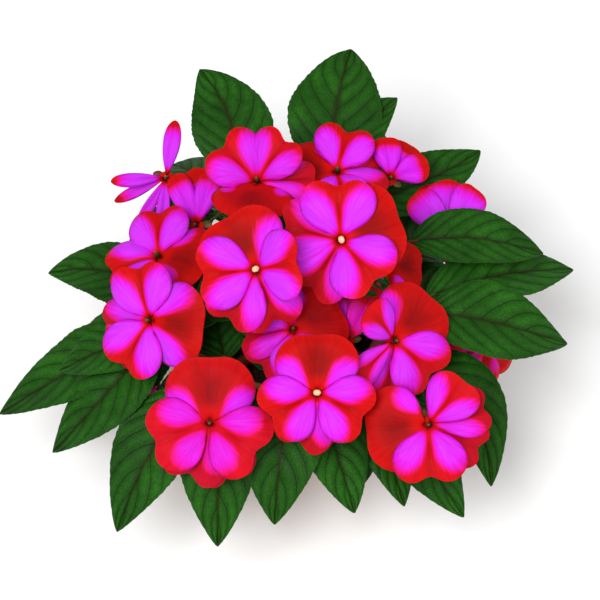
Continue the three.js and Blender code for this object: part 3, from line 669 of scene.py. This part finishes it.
def clay_material():
    """Dry terracotta: wheel marks, fine grit, darker patches and a pale lime bloom."""
    n = Nodes("clay")
    place = n.place()
    rings = n.noise(n.place((4, 4, 620)), 1.0, 2.0)
    blotch = n.noise(place, 22.0, 5.0, 0.6)
    grit = n.noise(place, 900.0, 2.0)
    lime = n.noise(n.place((14, 14, 30)), 1.0, 6.0, 0.65)
    colour = n.mix(n.ramp(blotch, 0.35, 0.65), CLAY_DARK, CLAY_LIGHT)
    colour = n.mix(n.times(n.ramp(lime, 0.52, 0.72), 0.5), colour, CLAY_LIME)
    n.paint(n.mix(n.times(n.ramp(grit, 0.6, 0.75), 0.3), colour, CLAY_GRIT))
    n.bump(n.plus(n.times(rings, 0.6), n.times(grit, 0.25)), 0.5, 0.0006)
    n.surface(0.88, 0.25)
    return n.material


def soil_material():
    """Crumbly potting mix."""
    n = Nodes("soil")
    place = n.place()
    lumps = n.noise(place, 160.0, 6.0, 0.7)
    grain = n.noise(place, 700.0, 4.0, 0.7)
    colour = n.mix(n.ramp(lumps, 0.35, 0.7), SOIL_DARK, SOIL_BROWN)
    n.paint(n.mix(n.ramp(grain, 0.62, 0.72, 0.0, 0.5), colour, SOIL_FLECK))
    n.bump(n.plus(lumps, n.times(grain, 0.5)), 0.8, 0.0012)
    n.surface(0.95, 0.2)
    return n.material


def floor_material():
    n = Nodes("floor")
    speckle = n.noise(n.place((60, 60, 60)), 1.0, 2.0)
    n.paint(n.mix(n.times(speckle, 0.25), FLOOR_WHITE, FLOOR_GREY))
    n.surface(0.9, 0.1)
    return n.material


MATERIALS = {
    "petal": petal_material(),
    "leaf": leaf_material(),
    "stem": stem_material(),
    "cap": eye_material("anther_cap", (900, 900, 900), (0.15, 0.7), CAP_COLOURS, 0.3, 0.55, 0.2),
    "ovary": eye_material("ovary", (700, 700, 250), (0.4, 0.95), OVARY_COLOURS, 0.25, 0.35),
    "clay": clay_material(),
    "soil": soil_material(),
}


# Blooms

def facing(lean):
    """The direction of a flower that looks at the view but for its lean to the right and up, in degrees."""
    right, up = radians(lean[0]), radians(lean[1])
    turned = FACE * cos(up) + FACE_UP * sin(up)
    return unit(turned * cos(right) + FACE_RIGHT * sin(right))


def flower_axes(lean, turn):
    """The local X, Y (along the standard petal) and Z (out of the face) of a bloom."""
    out = facing(lean)
    right = unit(np.cross(FACE_UP, out))
    up = np.cross(out, right)
    angle = radians(turn)
    standard = right * cos(angle) + up * sin(angle)
    return np.stack([np.cross(standard, out), standard, out])


def petal_grids(name, bloom, seed):
    """The middle surface of a petal as a grid of points, with its UVs and pattern masks."""
    half, reach, notch, layer, lobed = PETALS[name]
    facts = bloom.facts
    order = list(PETALS).index(name)
    middle = radians(facts.get("angles", SET_PLAIN)[order])
    tilt = radians(facts.get("tilts", TILTS)[order])
    slim = facts["slims"][order] if "slims" in facts else facts.get("slim", 1.0)
    pointed = 1 - smooth(0.3, 0.6, slim)
    notch = notch * smooth(0.6, 0.9, slim)

    # The outline: u runs across the petal from -1 to 1 and v out along it from 0 to 1.
    u = np.sin(np.linspace(-1, 1, PETAL_COLUMNS) * pi / 2) * 0.985
    v = np.linspace(0.02, 1, PETAL_ROWS) ** 0.9
    u, v = np.meshgrid(-u, v)
    side = np.abs(u)
    rim_radius = 0.5 * bloom.across
    claw = 0.35 * PETAL_CLAW
    rounded = (1 - side ** (2.7 - 1.0 * pointed)) ** (0.42 + 0.28 * pointed)
    uneven = 1 + 0.035 * wobble(3 * u, 0 * v, seed)
    notched = 1 - notch * np.exp(-((u / 0.2) ** 2)) * v ** 2
    shape = rounded * uneven * notched * v
    radius = (rim_radius * reach - claw) * shape
    direction = middle + radians(half * slim) * u * (0.93 + 0.07 * v)

    # The petal leans forward about its claw.
    forward = radius * np.cos(direction - middle)
    pulled = claw - forward * (1 - cos(tilt))
    x = -pulled * sin(middle) - radius * np.sin(direction)
    y = pulled * cos(middle) + radius * np.cos(direction)

    # Its relief: the cup and throat of the bloom, then lobes, crease, curled rim and ruffles.
    from_axis = claw + radius
    share = from_axis / rim_radius
    z = layer * smooth(0.05, 0.45, share) - PETAL_CUP * share ** 2
    z = z - THROAT_DEPTH * np.exp(-((from_axis / THROAT_WIDTH) ** 2)) + forward * sin(tilt)
    lobes = np.exp(-(((side - 0.5) / 0.32) ** 2)) * np.sin(np.clip(v, 0, 1) * pi * 0.82) ** 1.2
    crease = np.exp(-((u / 0.1) ** 2)) * smooth(0.1, 0.5, v) * (1 - 0.3 * v)
    z += slim * lobed * (LOBE_HEIGHT * lobes - CREASE_DEPTH * crease)
    z -= TIP_CURL * smooth(0.8, 1.0, v) + SIDE_CURL * smooth(0.88, 1.0, side) * smooth(0.2, 0.5, v)
    z += RUFFLE * wobble(4.0 * u + 1, 2.2 * v, seed + 0.7) * smooth(0.35, 1.0, v)
    uv = np.stack([(u + 1) / 2 + seed, v + 0.37 * seed], 2)
    return np.stack([x, y, z], 2), uv, petal_masks(name, bloom, u, v, shape, from_axis, seed)


def petal_masks(name, bloom, u, v, shape, from_axis, seed):
    """How violet, deep, rosy or edged each point is, the edge being a line of painted shade; shape says how
    far along the petal it lies, 0 to 1.
    """
    facts = bloom.facts
    side = np.abs(u)
    standard = name == "standard"
    low = name.startswith("low")
    amount = facts.get("fan", bloom.spread - 0.25) if standard else bloom.spread - (0.12 if low else 0.0)
    amount = amount + 0.10 * sin(9.0 * seed)

    # A violet oval on each half: its centre and half width across, its centre and half length along, and half
    # the width of the red seam that parts the two
    if facts.get("slim", 1.0) < 0.7:
        centre, wide, along, long, seam = 0.0, 0.95, 0.42, 0.2 + 0.3 * amount, -0.5
    elif standard:
        centre, wide, along, long, seam = 0.88, 0.26 + 0.36 * amount, 0.50, 0.14 + 0.36 * amount, 0.18
    else:
        centre, wide, along, long = 0.58, 0.30 + 0.28 * amount, 0.46, 0.20 + 0.34 * amount
        seam = 0.02 + (0.40 - 0.20 * amount) * smooth(0.4, 1.0, shape)
    ripple = 0.10 * wobble(5 * u, 3 * shape, seed + 1.3)
    oval = ((side - centre) / wide) ** 2 * (side < centre) + ((shape - along) / long) ** 2 + ripple
    violet = (1 - smooth(0.0, 1.6, oval)) * smooth(seam - 0.06, seam + 0.28, side) * smooth(0.04, 0.2, shape)
    violet = violet * (1 - 0.35 * smooth(0.8, 0.97, side)) * (0.76 + 0.42 * amount)

    # Deep red runs up the middle, and a fine dark line of painted shade follows the rim, standing in for the
    # shadow where petals overlap.
    middle_shade = np.exp(-((u / (0.46 if standard else 0.1)) ** 2)) * smooth(0.1, 0.35, shape)
    deep = (0.8 if standard else 0.4) * middle_shade * (1 - 0.85 * smooth(0.5, 1.0, shape))
    deep = np.clip(deep + (0.4 if low else 0.0), 0, 1)
    rosy = (0.3 if standard else 1.0) * facts.get("rosy", 0.15) + (0.25 if low else 0.0)
    # Painted shade darkens the throat, the hollow where the petals meet.
    throat = 1 - smooth(1.7, 3.4, from_axis)
    flank = smooth(0.93, 0.985, v) * smooth(0.4, 0.8, side)
    edge = np.maximum(smooth(0.945, 0.98, side), flank) * smooth(0.1, 0.25, shape)
    return dict(violet=violet, deep=deep, throat=throat, edge=edge, rosy=np.full(u.shape, rosy))


def add_petal(builder, axes, name, bloom, seed):
    grid, uv, masks = petal_grids(name, bloom, seed)
    points, faces, _ = thick_sheet(grid, UP, PETAL_HALF)
    uv, masks = both_sides(uv, masks)
    builder.add(points @ axes + bloom.at, faces, uv, 0, **masks)


def add_spur(builder, axes, bloom):
    """The thin tail that curls down behind a bloom."""
    t = np.linspace(0, 1, 18)
    across = bloom.across
    path = bezier([(0, -2.5, -3.6), (0, -6, -12), (0, -0.22 * across, -16), (0, -0.36 * across, -14.5)], t)
    radii = 1.7 * (1 - t) ** 1.2 + 0.55
    radii[-1] = 0.35
    tube(builder, path @ axes + bloom.at, radii, 10, 0, back=1.0)


def add_hub(builder, axes, centre):
    """The cup behind the petals and the two green sepals beside it."""
    cup = [(0, -HUB_BACK), (1.5, -HUB_BACK), (2.3, -HUB_BACK + 0.5), (3.2, -4.4), (3.8, -3.3), (2.6, -2.9),
           (0, -2.9)]
    lathe(builder, cup, 20, lambda points: points @ axes + centre)
    t = np.linspace(0, 1, 9)
    width = 2.1 * np.sin(np.pi * (0.12 + 0.88 * t)) ** 0.7
    across = np.linspace(-1, 1, 5)
    section = np.stack([0 * across, across, -0.25 * np.abs(across)], 1)
    for side in (-1, 1):
        middle = np.stack([side * (2.2 + 6 * t), 1.2 + 0 * t, -5.0 + 1.6 * t - 1.4 * t ** 2], 1)
        points, faces, _ = thick_sheet(middle[:, None] + section[None] * width[:, None, None], UP, SEPAL_HALF)
        builder.add(points @ axes + centre, faces, None, 1)


def make_bloom(number, bloom):
    axes = flower_axes(bloom.lean, bloom.turn)
    builder = Builder(PETAL_ATTRIBUTES)
    for k, name in enumerate(PETALS):
        add_petal(builder, axes, name, bloom, 0.61 * int(number) + 1.37 * k)
    add_spur(builder, axes, bloom)
    add_hub(builder, axes, bloom.at)
    made = builder.object(f"petals_{number}", ("petal", "stem"))
    finish_piece(made, f"bloom_{number}")


def around_axis(points):
    return np.arctan2(points[:, 1], points[:, 0])


def swollen(points, factor):
    return points * np.stack([factor, factor, np.ones_like(factor)], 1)


def cap_shape(points):
    """Turns a round cap into the hooked, ribbed one of the anthers."""
    angle = around_axis(points)
    height = (points[:, 2] + 1.5) / 6.5
    points = swollen(points, 1 + 0.13 * np.cos(2 * angle) + 0.05 * np.cos(5 * angle) * (1 - height))
    points[:, 1] += 0.9 * np.clip(height, 0, 1) ** 2
    return points


CAP = [(0, -1.5), (0.8, -1.5), (1.1, -0.4), (1.5, 1.0), (1.8, 2.2), (1.7, 3.2), (1.2, 4.2), (0.5, 4.9),
       (0, 5.1)]
OVARY = [(0, -1.8), (0.8, -1.8), (1.15, -0.6), (1.25, 0.6), (1.1, 1.8), (0.75, 3.0), (0.35, 4.0), (0, 4.6)]


def make_eye(number, bloom):
    """What stands in a throat: the cap of anthers or, after it has dropped, the ovary."""
    builder = Builder(("height",))
    if bloom.eye == "cap":
        lathe(builder, CAP, 30, cap_shape)
    else:
        lathe(builder, OVARY, 20)
    local = builder.points[0]
    builder.attributes["height"][0] = (local[:, 2] + 1.8) / 7
    builder.points[0] = local @ flower_axes(bloom.lean, bloom.turn) + bloom.at
    slot = "anther_cap" if bloom.eye == "cap" else "ovary"
    made = builder.object(f"{slot}_{number}", (bloom.eye,))
    finish_piece(made, f"eye_{number}")


def wrapped(points):
    """Twists a round bud into one of petals that are rolled around each other."""
    return swollen(points, 1 + 0.07 * np.cos(2 * around_axis(points) + 0.35 * points[:, 2]))


def make_bud(name):
    _, at, lean = BUDS[name]
    axes = flower_axes(lean, 90)
    builder = Builder(PETAL_ATTRIBUTES)
    half = BUD_LENGTH / 2
    profile = [(0, -half), (1.4, -half + 0.2), (2.8, -half + 1.6), (4.0, -3.6), (4.5, -1.0), (4.4, 1.4),
               (3.7, 4.0), (2.4, 6.2), (1.1, 7.8), (0, half)]
    lathe(builder, profile, 28, wrapped)
    local = builder.points[0]
    builder.attributes["deep"][0] = np.clip(0.8 - 0.06 * (local[:, 2] + half), 0, 1)
    builder.attributes["violet"][0] = 0.5 * np.clip(np.cos(2 * around_axis(local)), 0, 1)
    builder.points[0] = local @ axes + at
    t = np.linspace(0, 1, 12)
    spur = bezier([(0, 0, -half + 3), (0, -6, -half - 2), (0, -10, -half - 4), (0, -14, -half - 3)], t)
    tube(builder, spur @ axes + at, 1.3 * (1 - t) + 0.5, 8, 0, back=1.0)
    made = builder.object(f"{name}_petals", ("petal",))
    finish_piece(made, name)


def finish_piece(made, node):
    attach(made, "root")
    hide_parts(node)


# Stems and leaves

def stem_points(name, t):
    (x, y), crown = STEMS[name]
    foot = np.array([x, y, SOIL_TOP + 4.0])
    bend = foot + 0.3 * (crown - foot)
    bend[2] = foot[2] + 0.75 * (crown[2] - foot[2])
    return bezier([foot, bend, crown], t)


def leaf_list():
    """All leaves before bending."""
    leaves = []
    for stem, tip, half, arch, bow, share in PLACED_LEAVES:
        leaves.append(Leaf(stem, stem_points(stem, share), np.array(tip), half, arch, bow))
    for stem, share, count, toward, spread, length, fall, half in WHORLS:
        base = stem_points(stem, share)
        for i in range(count):
            turn = radians(toward + spread * (i / (count - 1) - 0.5))
            reach = length * (1 + WHORL_UNEVEN * sin(5 * i + toward))
            tip = base + np.array([cos(turn) * reach, sin(turn) * reach, -fall])
            leaves.append(Leaf(stem, base, tip, half, WHORL_ARCH, 0))
    return leaves


def bent(leaf, bend):
    turn, lift, share, extra = bend
    reach = (leaf.tip - leaf.base) * share
    c, s = cos(radians(turn)), sin(radians(turn))
    reach = np.array([c * reach[0] - s * reach[1], s * reach[0] + c * reach[1], reach[2] + lift])
    return leaf._replace(tip=leaf.base + reach, arch=leaf.arch + extra)


def grown_leaves():
    """Each leaf in the bend that the frame shows, found by the corner points at its tip."""
    corners = {}
    for name in STEMS:
        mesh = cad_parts[f"stem_{name}"].data
        co = np.empty(len(mesh.vertices) * 3, np.float32)
        mesh.vertices.foreach_get("co", co)
        corners[name] = co.reshape(-1, 3) / MM
    grown = []
    for leaf in leaf_list():
        best = None
        for bend in BENDS:
            candidate = bent(leaf, bend)
            distance = np.linalg.norm(corners[leaf.stem] - candidate.tip, axis=1).min()
            if distance < TIP_TOLERANCE and (best is None or distance < best[0] - BEND_GAIN):
                best = (distance, candidate)
        if best:
            grown.append(best[1])
    return grown


def leaf_line(leaf, t):
    """Points along the middle of a leaf and its stalk."""
    chord = leaf.tip - leaf.base
    chord[2] = 0
    control = leaf.base + LEAF_BEND * (leaf.tip - leaf.base) + 2 * leaf.bow * np.cross(unit(chord), UP)
    control[2] += 2 * leaf.arch
    return bezier([leaf.base, control, leaf.tip], t)


def leaf_grid(leaf, seed):
    """The middle surface of a leaf's blade as a grid of points, its upward direction, UVs and midrib mask."""
    # The midrib, from s = 0 at the stalk to 1 at the tip, and its directions at each point
    s = np.linspace(0, 1, LEAF_ROWS)
    s = 0.6 * s + 0.4 * (0.5 - 0.5 * np.cos(pi * s))
    start = PETIOLE_SHARE * 0.92
    middle = leaf_line(leaf, start + (1 - start) * s)
    along = units(np.gradient(middle, axis=0))
    level = units(np.cross(along, UP))
    out = np.cross(level, along)

    # The outline, with teeth that point to the tip
    tooth = 0.034 * ((s * LEAF_TEETH) % 1.0) - 0.017
    teeth = tooth * smooth(0.06, 0.2, s) * (1 - smooth(0.93, 1.0, s))
    width = leaf.half * np.sin(pi * np.clip(s, 0, 1) ** 0.85) ** 0.8
    width = width * (1 + teeth + 0.03 * np.sin(6 * s + seed))
    width = np.maximum(width, 0.9 * (1 - smooth(0.0, 0.06, s)) + 0.12)[:, None]
    s = s[:, None]
    c = np.linspace(-1, 1, LEAF_COLUMNS)
    c = (np.sign(c) * np.abs(c) ** 0.85)[None, :]
    across = np.abs(c)

    # The quilting: the blade swells between its side veins, which lie in grooves.
    phase = (s - VEIN_SWEEP * across ** VEIN_CURVE * (1 - VEIN_EASE * s)) * VEINS + VEIN_START + 0.5 * (c > 0)
    near = np.abs((phase % 1.0) - 0.5) * 2
    groove = smooth(0.72, 1.0, near) * smooth(0.03, 0.14, across) * smooth(0.02, 0.1, s)
    groove = groove * (1 - 0.5 * smooth(0.8, 1.0, across))
    pillow = (1 - near ** 2) * smooth(0.04, 0.3, across) * (1 - smooth(0.82, 1.0, across))
    rib = np.exp(-((across * width / 0.5) ** 2))
    fold = 0.22 * across - 0.10 * across ** 2.2
    wave = 0.045 * np.sin(9.5 * s + seed) * across ** 2 * np.sign(c)
    wave = wave + 0.035 * np.sin(14 * s + 2 * seed) * across ** 3
    size = min(leaf.half / 20.0, 1.1)
    lift = (fold + wave) * width + size * (QUILT_HEIGHT * pillow - GROOVE_DEPTH * groove)
    lift = lift - MIDRIB_DEPTH * rib * (width > 2)
    forward = 0.02 * leaf.half * across ** 3
    grid = middle[:, None] + level[:, None] * (c * width)[..., None] + out[:, None] * lift[..., None]
    grid = grid + along[:, None] * forward[..., None]
    uv = np.stack(np.broadcast_arrays((c + 1) / 2, s), 2)
    return grid, out, uv, dict(rib=np.clip(rib * 1.2, 0, 1))


def add_leaf(builder, leaf, seed):
    grid, out, uv, masks = leaf_grid(leaf, seed)
    points, faces, way = thick_sheet(grid, out[:, None], LEAF_HALF)
    if way.mean() < 0:
        faces = faces[:, ::-1]
    uv, masks = both_sides(uv, masks)
    builder.add(points, faces, uv, 0, tone=0.22 * sin(12.9 * seed), **masks)


def add_petiole(builder, leaf):
    path = leaf_line(leaf, np.linspace(0, PETIOLE_SHARE + 0.05, 12))
    tube(builder, path, np.linspace(1.5, 0.9, 12), 10, 1)


def flower_stalks():
    """The stalk of each flower: stem, where on it, the flower's centre, lean and depth behind the centre."""
    for bloom in BLOOMS.values():
        yield bloom.stem, bloom.facts.get("from", STALK_START), bloom.at, bloom.lean, HUB_BACK
    for stem, at, lean in BUDS.values():
        yield stem, STALK_START, at, lean, BUD_LENGTH / 2


def add_stalk(builder, stem, share, at, lean, back):
    out = facing(lean)
    start = stem_points(stem, share)
    end = at - out * (back + GAP)
    reach = np.linalg.norm(end - start)
    t = np.linspace(0, 1, 26)
    path = bezier([start, start + UP * 0.3 * reach, end - out * 0.3 * reach, end], t)
    radii = STALK_RADIUS * (1.15 - 0.25 * np.sin(pi * t)) + 0.75 * smooth(0.93, 1.0, t)
    tube(builder, path, radii, 12, 1)


def add_stem(builder, name):
    """A knotty stem from below the soil's top to its crown, where small leaves unfold.

    The length of the stem's name turns them, so that no two crowns look alike side by side.
    """
    t = np.linspace(0, 1, 30)
    curve = stem_points(name, t)
    root = curve[0] - [UP * depth for depth in ROOT_DEPTHS]
    share = np.concatenate([np.zeros(len(ROOT_DEPTHS)), t])
    radii = STEM_FOOT_RADIUS + (STEM_CROWN_RADIUS - STEM_FOOT_RADIUS) * share
    knots = 1 + 0.16 * np.exp(-(((share * KNOTS) % 1 - 0.5) / 0.1) ** 2)
    tube(builder, np.vstack([root, curve]), radii * knots, 18, 1)
    tip = curve[-1]
    first_turn = len(name) + 5
    for k in range(CROWN_LEAVES):
        turn = k * 1.7 + first_turn
        out = unit([cos(turn), sin(turn), 1.4])
        add_leaf(builder, Leaf(name, tip, tip + out * (9 + 2 * k), CROWN_LEAF_HALF, 1.0, 0), 0.3 * k)


def make_stem(name, leaves):
    builder = Builder(("rib", "back", "tone"))
    add_stem(builder, name)
    for k, leaf in enumerate(leaves):
        if leaf.stem == name:
            add_leaf(builder, leaf, 0.731 * k)
            add_petiole(builder, leaf)
    for stem, *stalk in flower_stalks():
        if stem == name:
            add_stalk(builder, stem, *stalk)
    made = builder.object(f"foliage_{name}", ("leaf", "stem"))
    finish_piece(made, f"stem_{name}")


# Pot and soil

def body_radius(z):
    return POT["base"] + (POT["body_top"] - POT["base"]) * z / POT["height"]


def inner_radius(z):
    return body_radius(z) - POT["wall"]


def make_pot():
    base, height, lip, lip_inner, floor = (POT[key] for key in ("base", "height", "rim", "lip_inner", "floor"))
    foot = height - POT["rim_height"]
    profile = [(0, 0), (20, 0), (base - 2.2, 0), (base - 0.6, 0.5), (body_radius(2.0), 2.0)]
    profile += [(body_radius(z), z) for z in np.linspace(4, foot - 1.5, 14)]
    profile += [(body_radius(foot) + 0.4, foot - 0.4), (lip - 1.4, foot + 0.3), (lip - 0.5, foot + 1.4)]
    profile += [(lip - 0.4 + 0.4 * k / 4, foot + 2 + 4 * k) for k in range(5)]
    profile += [(lip - 0.2, height - 1.2), (lip - 1.0, height - 0.3), (lip - 2.4, height), (lip_inner, height)]
    profile += [(inner_radius(height) + 1.4, height - 0.3), (inner_radius(height) + 0.2, height - 1.6)]
    profile += [(inner_radius(z), z) for z in np.linspace(height - 6, floor + 3, 8)]
    profile += [(inner_radius(6) - 1.6, floor + 0.4), (30, floor), (0, floor)]
    builder = Builder()
    lathe(builder, profile, 160)
    made = builder.object("clay_pot", ("clay",), 40)
    for i in range(POT["holes"]):
        drill_hole(made, i)
    finish_piece(made, "pot")


def drill_hole(pot, number):
    turn = (number + 0.5) * 2 * pi / POT["holes"]
    offset = np.array([POT["hole_ring"] * cos(turn), POT["hole_ring"] * sin(turn), 0])
    radius = POT["hole_radius"]
    drill = Builder()
    lathe(drill, [(0, -2), (radius, -2), (radius, 9), (0, 9)], 32, lambda points: points + offset)
    cutter = drill.object(f"drill_{number}", ("clay",))
    cut = pot.modifiers.new("hole", "BOOLEAN")
    cut.operation = "DIFFERENCE"
    cut.solver = "EXACT"
    cut.object = cutter
    bpy.context.view_layer.objects.active = pot
    bpy.ops.object.modifier_apply(modifier=cut.name)
    bpy.data.objects.remove(cutter)


def soil_height(x, y):
    base = SOIL_TOP + 1.3 * (np.sin(0.21 * x + 1) * np.cos(0.17 * y) + np.sin(0.33 * y - 0.24 * x))
    fine = 0.5 * np.sin(0.9 * x + 0.4 * y) * np.cos(0.8 * y) + 0.3 * np.sin(1.9 * x) * np.cos(2.3 * y + 1)
    return base + fine


def lumpy(points):
    """Gives the soil's flat top its lumps."""
    top = points[:, 2] > SOIL_TOP - 1
    points = points.copy()
    points[top, 2] = soil_height(points[top, 0], points[top, 1])
    return points


def make_soil():
    builder = Builder()
    edge = inner_radius(SOIL_TOP - 3) - GAP
    floor = POT["floor"] + GAP
    profile = [(0, floor), (inner_radius(floor) - 2 * GAP, floor), (edge, SOIL_TOP - 3)]
    profile += [(edge * share, SOIL_TOP) for share in np.linspace(0.95, 0.04, 26)]
    lathe(builder, profile + [(0, SOIL_TOP)], 90, lumpy)
    for _ in range(CRUMBS):
        radius = edge * 0.93 * sqrt(rng.random())
        turn = rng.random() * 2 * pi
        x, y = radius * cos(turn), radius * sin(turn)
        size = rng.uniform(*CRUMB_SIZES)
        add_crumb(builder, np.array([x, y, float(soil_height(x, y)) + 0.2 * size]), size)
    made = builder.object("potting_soil", ("soil",), 60)
    finish_piece(made, "soil")


def add_crumb(builder, centre, size):
    """A crumb of soil: a stretched and dented icosahedron."""
    golden = (1 + 5 ** 0.5) / 2
    corners = [np.roll((a, b, 0), k) for k in range(3) for b in (golden, -golden) for a in (-1, 1)]
    faces = [(0, 11, 5), (0, 5, 1), (0, 1, 7), (0, 7, 10), (0, 10, 11), (1, 5, 9), (5, 11, 4), (11, 10, 2),
             (10, 7, 6), (7, 1, 8), (3, 9, 4), (3, 4, 2), (3, 2, 6), (3, 6, 8), (3, 8, 9), (4, 9, 5),
             (2, 4, 11), (6, 2, 10), (8, 6, 7), (9, 8, 1)]
    stretch = rng.uniform(0.6, 1.3, 3)
    jitter = 1 + 0.22 * rng.standard_normal((12, 1))
    builder.add(np.array(corners) / 1.9 * jitter * stretch * size + centre, faces)


# Floor, lights and camera

def make_floor():
    mesh = bpy.data.meshes.new("floor")
    corners = [(x * FLOOR_HALF, y * FLOOR_HALF, 0) for x, y in ((-1, -1), (1, -1), (1, 1), (-1, 1))]
    mesh.from_pydata(corners, [], [(0, 1, 2, 3)])
    mesh.materials.append(floor_material())
    ground = new_object("floor", mesh)


def new_aimed(name, data, position, target):
    """A light or camera that points at the target."""
    made = new_object(name, data)
    made.location = position
    made.rotation_euler = (Vector(target) - Vector(position)).to_track_quat("-Z", "Y").to_euler()
    return made


def light_scene():
    scene = bpy.context.scene
    scene.world = bpy.data.worlds.new("studio")
    scene.world.use_nodes = True
    background = scene.world.node_tree.nodes["Background"]
    background.inputs["Color"].default_value = (1.0, 1.0, 1.0, 1)
    background.inputs["Strength"].default_value = WORLD_STRENGTH
    for name, (position, size, power) in LIGHTS.items():
        light = bpy.data.lights.new(name, "AREA")
        light.shape = "DISK"
        light.size = size
        light.energy = power
        new_aimed(name, light, position, LIGHT_TARGET)
    scene.view_settings.view_transform = "Standard"
    scene.view_settings.look = "None"
    scene.view_settings.exposure = 0.0


def place_camera():
    data = bpy.data.cameras.new("camera")
    data.sensor_width = SENSOR
    data.lens = SENSOR * VIEW_DISTANCE / VIEW_WIDTH
    data.clip_end = 50
    position = (VIEW_TARGET + FACE * VIEW_DISTANCE) * MM
    bpy.context.scene.camera = new_aimed("camera", data, position, VIEW_TARGET * MM)


place_camera()
light_scene()
make_floor()
make_pot()
make_soil()
leaves_in_place = grown_leaves()
for stem_name in STEMS:
    make_stem(stem_name, leaves_in_place)
for bloom_number, placed_bloom in BLOOMS.items():
    make_bloom(bloom_number, placed_bloom)
    make_eye(bloom_number, placed_bloom)
for bud_name in BUDS:
    make_bud(bud_name)
